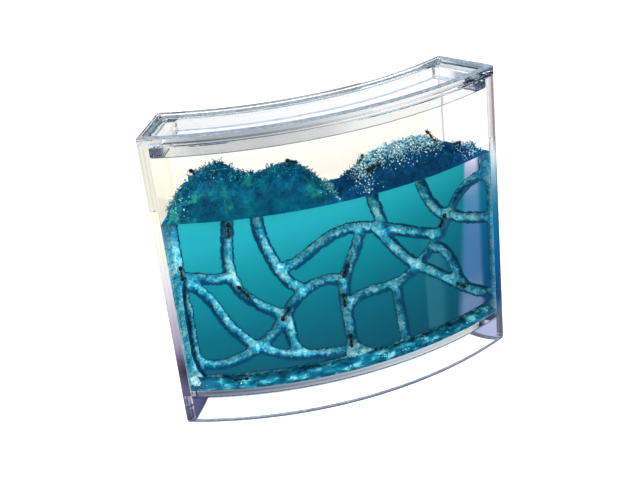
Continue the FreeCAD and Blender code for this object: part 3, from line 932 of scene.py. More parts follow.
@dataclass
class Lid:
    """Clear lid: cover with a raised border, sunk panel, plug ring and two pin-sized air holes."""

    plan: BowedPlan
    tank: Tank
    rim: float = 4.4
    border: float = 3.6
    recess: float = 1.4
    plug_depth: float = 5.8
    plug_wall: float = 1.8
    plug_end: float = 6.0
    clearance: float = 0.3
    lead_in: float = 0.6
    bevel: float = 0.35
    plug_corner: float = 0.6
    broken: float = 0.15            # broken edge at the seat
    mouth_bevel: float = 0.2
    seat_gap: float = 0.06          # air line between the lid and the tank's rim
    air_hole: float = 1.2
    air_hole_inset: float = 8.2
    air_hole_sides: int = 20

    def loops(self) -> list[tuple[np.ndarray, float]]:
        """Outlines of the lid from the sunk panel, over the border and round the plug.

        Returns:
            Each outline with its height, in mm.
        """
        front, back = self.plan.front_radius, self.plan.back_radius
        seat, top = self.tank.height + self.seat_gap, self.tank.height + self.rim
        low = self.tank.height - self.plug_depth
        wall, end = self.tank.panel + self.clearance, self.tank.end + self.clearance
        corner = self.tank.corner

        def edge(inset: float) -> np.ndarray:
            """Outline so many mm inside the cover's own."""
            return self.plan.outline(front - inset, back + inset, inset, corner)

        def plug(shrink: float) -> np.ndarray:
            """Outline so many mm inside the plug's own."""
            return self.plan.outline(front - wall - shrink, back + wall + shrink, end + shrink, self.plug_corner)

        def mouth(grow: float) -> np.ndarray:
            """Outline so many mm outside that of the plug's mouth."""
            deep = wall + self.plug_wall - grow
            return self.plan.outline(front - deep, back + deep, end + self.plug_end - grow, corner)

        return [(edge(self.border), top - self.recess), (edge(self.border), top - self.bevel),
                (edge(self.border - self.bevel), top), (edge(self.bevel), top), (edge(0), top - self.bevel),
                (edge(0), seat + self.broken), (edge(self.broken), seat),
                (plug(0), seat), (plug(0), low + self.lead_in), (plug(self.lead_in), low),
                (mouth(self.mouth_bevel), low), (mouth(0), low + self.mouth_bevel), (mouth(0), seat)]

    def build(self, acrylic: bpy.types.Material, edge: bpy.types.Material, face: bpy.types.Material,
              plug: bpy.types.Material) -> bpy.types.Object:
        """Build the lid as one clear body and drill its air holes.

        Args:
            acrylic: Finish of the lid.
            edge: Finish of its milled step and of the plug's chamfer.
            face: Finish of the front of its border.
            plug: Finish of the front of its plug.

        Returns:
            The piece.
        """
        bands = {0: (Around.REST, 1), 1: (Around.FRONT, 1), 2: (Around.FRONT, 1), 3: (Around.FRONT, 1),
                 4: (Around.FRONT, 2), 7: (Around.FRONT, 3), 8: (Around.ALL, 1)}    # by the loops' order
        piece = stacked_shell("lid", self.loops(), [acrylic, edge, face, plug], bands)
        middle = (self.plan.front_radius + self.plan.back_radius) / 2
        angle = self.plan.half_angle - math.asin(self.air_hole_inset / middle)
        turns = np.arange(self.air_hole_sides) * 2 * math.pi / self.air_hole_sides
        for side in (-1, 1):
            hole = self.plan.place(middle, side * angle, 0)
            ring = np.array([(math.cos(t), math.sin(t)) for t in turns])
            ring = ring * self.air_hole / 2 + hole[:2] / MM
            drill = stacked_shell("drill", [(ring, self.tank.height - self.plug_depth - 1),
                                            (ring, self.tank.height + self.rim + 1)], [])
            cut = piece.modifiers.new("air_hole", "BOOLEAN")
            cut.operation, cut.object, cut.solver = "DIFFERENCE", drill, "EXACT"
            bpy.context.view_layer.objects.active = piece
            bpy.ops.object.modifier_apply(modifier=cut.name)
            bpy.data.objects.remove(drill)
        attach(piece, "lid")
        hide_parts("lid_cover", "lid_plug")
        LOG.info("lid: %d faces", len(piece.data.polygons))
        return piece


# ---- the gel ----------------------------------------------------------------------------------


@dataclass
class GelBlock:
    """Gel block with the ants' tunnels, read as a depth below its front face from the solid."""

    plan: BowedPlan
    tank: Tank
    clearance: float = 0.2
    wet: float = 0.25               # mm that the gel swells, so that it wets the acrylic with no air line
    cell: float = 0.38              # mm between points of the front face
    soften: float = 0.9             # mm over which the torn rim falls away
    grit: float = 0.22              # mm of roughness on a tunnel's wall
    dug: float = 0.20               # share of digging past which a face is torn gel
    cling: float = 2.4              # mm over which torn gel climbs to cling to the end walls
    fray: tuple = ((1.5, 0.16, 3), (0.8, 0.12, 4))      # noises along the rim: mm, weight and seed
    rough: tuple = ((1.0, 1.0, 5), (0.6, 0.6, 6), (2.4, 0.8, 7))    # the same over a tunnel's wall
    wall_from: tuple = (0.52, 0.30)     # share of digging where a wall starts, and how much more it takes
    shallow: float = 2.2            # mm, least depth of a dug wall
    cut: float = 0.4                # mm of depth past which a point is dug
    settle: float = 0.7             # mm over which a tunnel's bottom is smoothed
    lift_off: float = 0.3           # mm of depth over which the gel comes off the acrylic
    core: tuple = (0.8, 4.2)        # mm over which the depth is smoothed for the finish's painted highlight, mm that count as deep
    deepest: float = 6.0            # mm, how deep the digging is read
    ahead: float = 1.0              # mm in front of the gel from which it is read
    feet_gap: tuple = (0.15, 0.02)  # mm, from the solid's foot and from its top to the points' rows
    septum: tuple = (               # thin wall left standing in the left shaft: share across, mm up
        (-0.930, 76.0), (-0.946, 69.6), (-0.950, 54.7), (-0.952, 37.1), (-0.935, 29.3), (-0.90, 24.0))
    septum_width: float = 0.55      # mm
    septum_share: float = 0.7
    painted_wall_view_at: tuple = (0.778, 0.915)     # across, from the back corner seen through the gel to the shaft: the painted view's edges
    painted_wall_view_lean: float = 0.0015       # share that it shifts to the left with each mm down
    painted_wall_view_blend: tuple = (0.012, 0.0006, 0.05)   # share at its left edge, more with each mm down, at its right
    painted_wall_view_build: tuple = (0.65, 0.07)    # strength at its left edge, share across over which it grows to 1
    glint_at: tuple = (0.447, 0.61)
    glint_blend: tuple = (0.012, 0.06)
    glint_below: tuple = (85.0, 25.0)   # mm up, and mm over which it comes in
    glint_share: float = 0.9
    painted_shade_right: tuple = (0.875, 0.04)  # across, and the share over which it comes in
    painted_shade_left: tuple = (0.90, 0.03)
    painted_shade_above: tuple = (90.0, 8.0)    # mm up, and mm over which the left one comes in

    def depths(self, shares: np.ndarray, heights: np.ndarray, front: float) -> np.ndarray:
        """Depth of the digging behind the front face, by rays into the solid.

        Args:
            shares: Place of each column from -1 to 1.
            heights: Height of each row, in mm.
            front: Radius of the gel's front face, in mm.

        Returns:
            Depth in mm for each row and column.
        """
        tree = solid_tree("gel_block")
        found = np.zeros((len(heights), len(shares)))
        inset = 0.9995              # keeps the outermost rays off the solid's own ends
        for column, angle in enumerate(shares * self.end_angle(front) * inset):
            start = self.plan.place(front + self.ahead, angle, heights)
            way = Vector((-math.sin(angle), math.cos(angle), 0.0))
            for row in range(len(heights)):
                hit = tree.ray_cast(Vector(start[row]), way)
                found[row, column] = self.deepest if hit[3] is None else hit[3] / MM - self.ahead
        return np.clip(found, 0.0, self.deepest)

    def end_angle(self, radius: np.ndarray) -> np.ndarray:
        """Angle from the middle to the gel's end at a radius in mm."""
        return self.plan.half_angle - np.arcsin((self.tank.end + self.clearance) / radius)

    def web(self, u: np.ndarray, v: np.ndarray, width: float) -> np.ndarray:
        """Distance from each place to the thin wall of gel left standing in the left shaft.

        Args:
            u: Place of each point along the front, in mm from the middle.
            v: Its height above the table, in mm.
            width: Half the front's width, in mm.

        Returns:
            Distances in mm, a little ragged.
        """
        found = np.full(u.shape, 9.0)       # further off than it reaches
        for (left, under), (right, over) in zip(self.septum, self.septum[1:]):
            foot, tip = np.array([left * width, under]), np.array([right * width, over])
            run = tip - foot
            along = np.clip(((u - foot[0]) * run[0] + (v - foot[1]) * run[1]) / (run @ run), 0, 1)
            found = np.minimum(found, np.hypot(u - foot[0] - along * run[0], v - foot[1] - along * run[1]))
        return found + 0.25 * soft_noise(u, v, 1.2, 8)

    def dig(self, u: np.ndarray, v: np.ndarray, deep: np.ndarray, width: float) -> tuple[np.ndarray, np.ndarray]:
        """Turn the solid's clean bores into torn ones.

        Args:
            u: Place of each point along the front, in mm from the middle.
            v: Its height above the table, in mm.
            deep: Depth of the bores there, in mm.
            width: Half the front's width, in mm.

        Returns:
            How far each point counts as dug, from 0 to 1, and how far it lies behind the front, in mm.
        """
        bore = blur((deep > self.cut).astype(float), self.soften / self.cell)
        rim = 4 * bore * (1 - bore)
        fray = sum(weight * soft_noise(u, v, size, seed) for size, weight, seed in self.fray)
        bore = np.clip(bore + rim * fray, 0, 1)
        bore *= 1 - self.septum_share * np.exp(-(self.web(u, v, width) / self.septum_width) ** 2)
        start, more = self.wall_from
        share = np.clip((bore - start) / more, 0, 1)
        profile = np.sqrt(1 - (1 - share) ** 2)
        depth = np.maximum(blur(deep, self.settle / self.cell), self.shallow * share)
        grit = sum(weight * soft_noise(u, v, size, seed) for size, weight, seed in self.rough)
        sunk = np.maximum(0.0, profile * depth + self.grit * grit * share)
        sunk *= np.clip((width - np.abs(u)) / self.cling, 0, 1) ** 0.7
        return bore, sunk

    def tints(self, across: np.ndarray, v: np.ndarray, top: float) -> dict[str, np.ndarray]:
        """Where painted views, glints and shade show in the gel instead of its own colour.

        Args:
            across: Place of each point along the front, from -1 to 1.
            v: Its height above the table, in mm.
            top: Height of the gel's top, in mm.

        Returns:
            Shares from 0 to 1 under the names of the marks that the finishes read.
        """
        def past(values: np.ndarray, start: float, reach: float) -> np.ndarray:
            """Share of a reach that values lie past a start."""
            return np.clip((values - start) / reach, 0, 1)

        # Painted view of the end wall through the gel, widening downwards.
        leant = across - self.painted_wall_view_lean * (v - top)
        left, down, right = self.painted_wall_view_blend
        painted_wall_view = past(leant, self.painted_wall_view_at[0], left + down * (top - v)) * past(-across, -self.painted_wall_view_at[1], right)
        weak, reach = self.painted_wall_view_build
        painted_wall_view *= weak + (1 - weak) * past(leant, self.painted_wall_view_at[0], reach)
        glint = past(across, self.glint_at[0], self.glint_blend[0])
        glint *= past(-across, -self.glint_at[1], self.glint_blend[1])
        glint *= self.glint_share * past(-v, -self.glint_below[0], self.glint_below[1])
        # Painted shade at both ends, the left one only near the top.
        stain_and_painted_shade = past(across, *self.painted_shade_right) + past(-across, *self.painted_shade_left) * past(v, *self.painted_shade_above)
        return {"painted_wall_view": painted_wall_view, "glint": glint, "stain_and_painted_shade": stain_and_painted_shade}

    def build(self, finishes: list[bpy.types.Material]) -> bpy.types.Object:
        """Build the gel as one closed body, smooth outside and torn where it is dug.

        Args:
            finishes: Finish of the cast faces, of the tunnels and of the ends.

        Returns:
            The piece.
        """
        low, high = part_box("gel_block")
        front = self.plan.front_radius - self.tank.panel - self.clearance
        back = self.plan.back_radius + self.tank.panel + self.clearance
        width = float(self.end_angle(front)) * front
        columns = round(2 * width / self.cell)
        rows = round((high.z - low.z) / MM / self.cell)
        shares = np.linspace(-1, 1, columns)
        heights = np.linspace(low.z / MM + self.feet_gap[0], high.z / MM - self.feet_gap[1], rows)
        deep = self.depths(shares, heights, front)
        u, v = np.meshgrid(shares * width, heights)
        bore, sunk = self.dig(u, v, deep, width)
        wetting = np.clip(1 - sunk / self.lift_off, 0, 1)
        radii = front - sunk + self.wet * wetting
        touch = self.wet / radii * wetting
        front_points = self.plan.place(radii, shares[None, :] * (self.end_angle(radii) + touch),
                                       heights[:, None])
        back -= self.wet
        back_angles = shares * (self.end_angle(back) + self.wet / back)
        points = np.concatenate([front_points.reshape(-1, 3), self.plan.place(back, back_angles, heights[0]),
                                 self.plan.place(back, back_angles, heights[-1])])
        first = rows * columns
        grid = np.arange(first).reshape(rows, columns)
        faces = grid_faces(grid)
        torn = (bore[:-1, :-1] + bore[:-1, 1:] + bore[1:, 1:] + bore[1:, :-1]) / 4 > self.dug
        slots = torn.astype(int).reshape(-1).tolist()
        bottom, top = first + np.arange(columns), first + columns + np.arange(columns)
        for k in range(columns - 1):
            faces.append((bottom[k + 1], bottom[k], top[k], top[k + 1]))
            faces.append((grid[0, k + 1], grid[0, k], bottom[k], bottom[k + 1]))
            faces.append((grid[-1, k], grid[-1, k + 1], top[k + 1], top[k]))
            slots += [0, 0, 0]
        faces.append(tuple(grid[:, 0]) + (top[0], bottom[0]))
        faces.append(tuple(grid[::-1, -1]) + (bottom[-1], top[-1]))
        slots += [2, 2]
        faces = [tuple(int(corner) for corner in face) for face in faces]
        piece = make_piece("gel", points, faces, finishes, np.array(slots), crease=60.0)
        # Marks for the finishes: bore gives the tunnels' painted rim shade, core their painted highlight.
        marks = {"bore": bore, "core": np.clip(blur(deep, self.core[0] / self.cell) / self.core[1], 0, 1)}
        marks.update(self.tints(u / width, v, heights[-1]))
        rest = np.zeros(2 * columns)
        mark_points(piece, {name: np.concatenate([values.reshape(-1), rest]) for name, values in marks.items()})
        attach(piece, "tank")
        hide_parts("gel_block")
        LOG.info("gel: %d faces, %.0f %% of the front dug", len(faces), 100 * torn.mean())
        return piece


# ---- crumbs -----------------------------------------------------------------------------------


def crumbs(centres: np.ndarray, radii: np.ndarray, seed: int) -> tuple[np.ndarray, np.ndarray]:
    """Rough crumbs, each an uneven eight-sided stone.

    Args:
        centres: Middle of each crumb, in metres.
        radii: Size of each crumb, in metres.
        seed: Seed of their shapes.

    Returns:
        The points and the faces of them all.
    """
    rng = np.random.default_rng(seed)
    base = np.array([(1, 0, 0), (-1, 0, 0), (0, 1, 0), (0, -1, 0), (0, 0, 1), (0, 0, -1)], float)
    sides = np.array([(0, 2, 4), (2, 1, 4), (1, 3, 4), (3, 0, 4), (2, 0, 5), (1, 2, 5), (3, 1, 5), (0, 3, 5)])
    count = len(centres)
    turns = rng.normal(size=(count, 4))
    turns /= np.linalg.norm(turns, axis=1, keepdims=True)
    w, x, y, z = turns.T
    spin = np.stack([
        np.stack([1 - 2 * (y * y + z * z), 2 * (x * y - z * w), 2 * (x * z + y * w)], -1),
        np.stack([2 * (x * y + z * w), 1 - 2 * (x * x + z * z), 2 * (y * z - x * w)], -1),
        np.stack([2 * (x * z - y * w), 2 * (y * z + x * w), 1 - 2 * (x * x + y * y)], -1)], 1)
    local = base[None] * rng.uniform(0.65, 1.15, (count, 6, 1)) * radii[:, None, None]
    points = np.einsum("nij,nkj->nki", spin, local)
    points += centres[:, None]
    faces = sides[None] + 6 * np.arange(count)[:, None, None]
    return points.reshape(-1, 3), faces.reshape(-1, 3)


@dataclass
class Mound:
    """Heap of dug gel on top of the block: wet and dense below, clumps of crumbs along its ridge, the higher
    crumbs painted pale as highlights.
    """

    plan: BowedPlan
    side: Side
    bright_from: float              # share of the heap's height past which crumbs are often painted bright as highlights
    bright: float                   # share of crumbs there that are painted bright as highlights
    cell: float = 0.8
    crumb: tuple = (0.20, 0.46)     # mm, least and largest radius
    count: int = 8500
    clumps: int = 2600              # loose clumps, each a short climbing run of crumbs
    clump_links: int = 7
    clump_crumb: tuple = (0.28, 0.52)
    clump_lives: float = 0.78       # share of the clumps that grow on at each link
    lump: float = 0.55              # mm
    lumps: tuple = ((4.5, 1.0, 0), (2.2, 0.7, 7), (1.1, 0.5, 8))    # mm, weight and seed of its lumps
    pale_runs: tuple = ()           # (mm along X, mm to either side, share) where any crumbs are painted pale as highlights
    front_gap: float = 3.0          # mm from the tank's outer faces
    back_gap: float = 3.4
    sunk: float = 0.8               # mm that the core lies under the crumbs
    ridge_from: tuple = (0.70, 0.28)    # share of the height where the ridge starts, and how much more it takes
    plain_fleck: float = 0.45       # shade of the core
    end: float = 0.4665             # radians, just short of the end wall

    def heights(self, angles: np.ndarray, radii: np.ndarray, floor: float) -> np.ndarray:
        """Height of the heap over a grid, by rays down onto the solid.

        Args:
            angles: Angle of each column from the middle, in radians.
            radii: Radius of each row, in mm.
            floor: Height where there is no heap, in mm.

        Returns:
            Heights in mm in rows and columns.
        """
        tree = solid_tree(f"{self.side.value}_mound")
        found = np.full((len(radii), len(angles)), floor)
        for row, radius in enumerate(radii):
            for column, angle in enumerate(angles):
                start = Vector(self.plan.place(radius, angle, floor + 60.0))     # well above any heap
                hit = tree.ray_cast(start, Vector((0, 0, -1)))
                if hit[0] is not None:
                    found[row, column] = hit[0].z / MM
        return found

    def inside(self, spots: np.ndarray, margin: np.ndarray, front: float, back: float) -> np.ndarray:
        """Move places back between the panels.

        Args:
            spots: One row of x, y, z in mm for each place.
            margin: How far each has to stay from the panels, in mm.
            front: Radius of the heap's front, in mm.
            back: Radius of its back, in mm.

        Returns:
            The places, moved.
        """
        axis = np.array([0.0, self.plan.centre_y])
        apart = spots[:, :2] - axis
        radius = np.linalg.norm(apart, axis=1)
        kept = np.clip(radius, back + margin, front - margin)
        angle = np.clip(np.arctan2(apart[:, 0], -apart[:, 1]),
                        -self.end + margin / front, self.end - margin / front)
        moved = spots.copy()
        moved[:, 0] = kept * np.sin(angle)
        moved[:, 1] = axis[1] - kept * np.cos(angle)
        return moved

    def build(self, finish: bpy.types.Material) -> bpy.types.Object:
        """Build the heap as one mesh of core and crumbs.

        Args:
            finish: Finish of the crumbs.

        Returns:
            The piece.
        """
        node = f"{self.side.value}_mound"
        low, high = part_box(node)
        floor, crest = low.z / MM, high.z / MM
        seed = 11 if self.side is Side.LEFT else 12
        rng = np.random.default_rng(seed)
        front = self.plan.front_radius - self.front_gap
        back = self.plan.back_radius + self.back_gap
        start, stop = (-self.end, 0.001) if self.side is Side.LEFT else (-0.001, self.end)
        columns = round((stop - start) * front / self.cell)
        rows = round((front - back) / self.cell)
        angles, radii = np.linspace(start, stop, columns), np.linspace(front, back, rows)
        top = blur(self.heights(angles, radii, floor), 1.2)
        u, v = np.meshgrid(angles * front, radii)
        rough = sum(weight * soft_noise(u, v, size, seed + more) for size, weight, more in self.lumps)
        rise = np.clip((top - floor) / 5.0, 0, 1)       # the lumps grow over the first 5 mm
        top = np.maximum(floor + 0.02, top + self.lump * rough * rise - self.sunk)
        core = self.plan.place(radii[:, None], angles[None, :], top).reshape(-1, 3)
        foot = self.plan.place(radii[:, None], angles[None, :], np.full_like(top, floor)).reshape(-1, 3)
        grid = np.arange(rows * columns).reshape(rows, columns)
        rim = np.concatenate([grid[0, :-1], grid[:-1, -1], grid[-1, :0:-1], grid[:0:-1, 0]])
        after = np.roll(rim, -1)
        size = rows * columns
        skirt = np.stack([rim, rim + size, after + size, after], -1)
        faces = grid_faces(grid) + skirt.tolist() + [tuple(int(k) + size for k in rim)]
        points, painted_highlight, fleck = [core, foot], [np.zeros(2 * size)], [np.full(2 * size, self.plain_fleck)]
        sides = core.reshape(rows, columns, 3) / MM
        first, second = sides[1:, :-1] - sides[:-1, :-1], sides[:-1, 1:] - sides[:-1, :-1]
        normal = np.cross(second, first)
        area = np.linalg.norm(normal, axis=2)
        normal *= np.sign(normal[..., 2:]) / area[..., None]
        ridge = (sides[:-1, :-1, 2] - floor) / np.maximum(sides[..., 2].max(axis=0)[:-1] - floor, 0.5)
        ridge = np.clip((ridge - self.ridge_from[0]) / self.ridge_from[1], 0, 1)
        proud = sides[:-1, :-1, 2] > floor + 0.3
        chance = (area * proud * (0.25 + 0.75 * ridge)).reshape(-1)

        def scatter(amount: int, weight: np.ndarray) -> tuple[np.ndarray, np.ndarray, np.ndarray]:
            """Pick places on the core.

            Args:
                amount: How many.
                weight: Weight of each face of the core.

            Returns:
                The places in mm, the way out of the core there, and the share of its height.
            """
            picks = rng.choice(len(weight), amount, p=weight / weight.sum())
            i, j = picks // (columns - 1), picks % (columns - 1)
            a, b = rng.uniform(0, 1, (2, amount, 1))
            place = sides[i, j] + a * first[i, j] + b * second[i, j]
            return place, normal[i, j], (place[:, 2] - floor) / (crest - floor)

        def lay(places: np.ndarray, sizes: np.ndarray, shares: np.ndarray, odds: float, number: int) -> None:
            """Add crumbs, the higher ones painted bright as highlights by the odds.

            Args:
                places: Middle of each crumb, in mm.
                sizes: Radius of each, in mm.
                shares: Share of the heap's height at the place each one grew from.
                odds: Share of the high ones that are painted bright.
                number: Adds to the seed of their shapes.
            """
            crumb_points, crumb_faces = crumbs(places * MM, sizes * MM, seed + number)
            faces.extend((crumb_faces + sum(len(p) for p in points)).tolist())
            points.append(crumb_points)
            chances = odds * np.clip((shares - self.bright_from) / 0.2, 0, 1)
            for middle, reach, often in self.pale_runs:
                chances = np.maximum(chances, often * np.exp(-((places[:, 0] - middle) / reach) ** 2))
            painted_highlight.append(np.repeat((rng.uniform(0, 1, len(sizes)) < chances).astype(float), 6))
            fleck.append(np.repeat(rng.uniform(0, 1, len(sizes)), 6))

        place, out, share = scatter(self.count, chance)
        sizes = rng.uniform(*self.crumb, self.count)
        place = self.inside(place + out * (0.3 * sizes)[:, None], 1.15 * sizes, front, back)
        lay(place, sizes, share, 0.5 * self.bright, 0)
        place, out, share = scatter(self.clumps, (area * proud * (0.03 + ridge ** 2)).reshape(-1))
        sizes = rng.uniform(*self.clump_crumb, self.clumps)
        way = out + np.array([0, -0.2, 0.9]) + 0.5 * rng.normal(0, 1, (self.clumps, 3))
        going = np.ones(self.clumps, bool)
        for link in range(self.clump_links):
            way = way / np.linalg.norm(way, axis=1, keepdims=True) + 0.45 * rng.normal(0, 1, way.shape)
            place = place + way * (1.5 * sizes / np.linalg.norm(way, axis=1))[:, None]
            place = self.inside(place, 1.15 * sizes, front, back)
            lay(place[going], sizes[going], share[going], self.bright * (0.7 + 0.1 * link), link + 1)
            sizes = sizes * rng.uniform(0.78, 1.0, self.clumps)
            going &= rng.uniform(0, 1, self.clumps) < self.clump_lives
        piece = make_piece(node + "_crumbs", np.concatenate(points), faces, [finish], crease=50.0)
        mark_points(piece, {"painted_highlight": np.concatenate(painted_highlight), "fleck": np.concatenate(fleck)})
        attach(piece, "tank")
        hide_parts(node)
        LOG.info("%s: %d faces", node, len(faces))
        return piece


@dataclass
class FloorCrumbs:
    """Bank of crumbs that the ants have dropped in the gallery along the foot of the front."""

    plan: BowedPlan
    count: int = 3400
    profile: tuple = (              # mm in from the front, mm of height
        (0.05, 1.9), (1.2, 2.3), (2.6, 3.6), (4.0, 4.4), (5.4, 4.6))
    crumb: tuple = (0.35, 0.80)     # mm, least and largest radius
    inset: float = 3.05             # mm from the tank's outer face to the bank's front
    end_inset: float = 4.4          # mm from an end's outer face to the bank's end
    width: float = 5.2              # mm over which the crumbs lie
    sections: int = 220
    wave: tuple = (0.25, 6.0)       # share and mm by which the bank is higher and lower
    painted_highlight_share: float = 0.02       # share of the crumbs painted pale as highlights
    plain_fleck: float = 0.45       # shade of the bank under them
    rise: float = 4.6               # mm that the bank climbs at the back of the gallery
    corner_count: int = 170         # pale crumbs in the left corner
    corner_size: tuple = (2.5, 6.0, 5.5)    # mm deep, along and up

    def build(self, finish: bpy.types.Material) -> bpy.types.Object:
        """Build the bank as loose crumbs over the solid's section.

        Args:
            finish: Finish of the crumbs.

        Returns:
            The piece.
        """
        low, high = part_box("floor_crumbs")
        rng = np.random.default_rng(21)
        front = self.plan.front_radius - self.inset
        floor, crest = low.z / MM, (high.z - low.z) / MM
        reach = self.plan.half_angle - math.asin(self.end_inset / front)
        sizes = rng.uniform(*self.crumb, self.count)
        angle = rng.uniform(-1, 1, self.count) * (reach - sizes / front)
        inward = rng.uniform(0, 1, self.count) * self.width
        wave = 1 + self.wave[0] * soft_noise(angle * front, 0 * angle, self.wave[1], 22)
        limit = (crest + (self.rise - crest) * np.clip((inward - 1.5) / 3.0, 0, 1)) * wave
        share = rng.uniform(0, 1, self.count) ** 0.7
        spots = self.plan.place(front - sizes * 1.15 - inward, angle,
                                floor + sizes * 1.1 + share * np.maximum(limit - sizes, 0))
        painted_highlight = (rng.uniform(0, 1, self.count) < self.painted_highlight_share).astype(float)
        corner = rng.uniform(*self.crumb, self.corner_count)
        heap = rng.uniform(0, 1, self.corner_count)
        deep, along, up = self.corner_size
        corner_spots = self.plan.place(
            front - corner * 1.15 - rng.uniform(0, deep, self.corner_count),
            -reach + corner / front + rng.uniform(0, 1, self.corner_count) * (1 - heap * 0.7) * along / front,
            floor + corner * 1.1 + heap * up)
        loose_points, loose_faces = crumbs(np.concatenate([spots, corner_spots]),
                                           np.concatenate([sizes, corner]) * MM, 23)
        bends = np.linspace(-reach, reach, self.sections)
        inset, rise = np.array(self.profile).T
        rough = 1 + 0.12 * soft_noise(bends[None, :] * front, inset[:, None], 3.0, 24)
        upper = self.plan.place(front - inset[:, None], bends[None, :], floor + rise[:, None] * rough)
        lower = self.plan.place(front - inset[[0, -1], None], bends[None, :],
                                np.full((2, self.sections), floor + 0.02))
        rings = np.concatenate([lower[:1], upper, lower[1:]])
        bank = len(rings) * self.sections
        grid = np.arange(bank).reshape(len(rings), self.sections)
        faces = grid_faces(np.concatenate([grid, grid[:1]]))
        faces += [tuple(int(k) for k in grid[:, 0]), tuple(int(k) for k in grid[::-1, -1])]
        points = np.concatenate([rings.reshape(-1, 3), loose_points])
        faces += (loose_faces + bank).tolist()
        piece = make_piece("gallery_crumbs", points, faces, [finish], crease=50.0)
        total = self.count + self.corner_count
        mark_points(piece, {
            "painted_highlight": np.concatenate([np.zeros(bank), np.repeat(painted_highlight, 6), np.ones(6 * self.corner_count)]),
            "fleck": np.concatenate([np.full(bank, self.plain_fleck),
                                     np.repeat(rng.uniform(0, 1, total), 6)])})
        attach(piece, "tank")
        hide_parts("floor_crumbs")
        LOG.info("gallery crumbs: %d", self.count)
        return piece


# ---- ants -------------------------------------------------------------------------------------


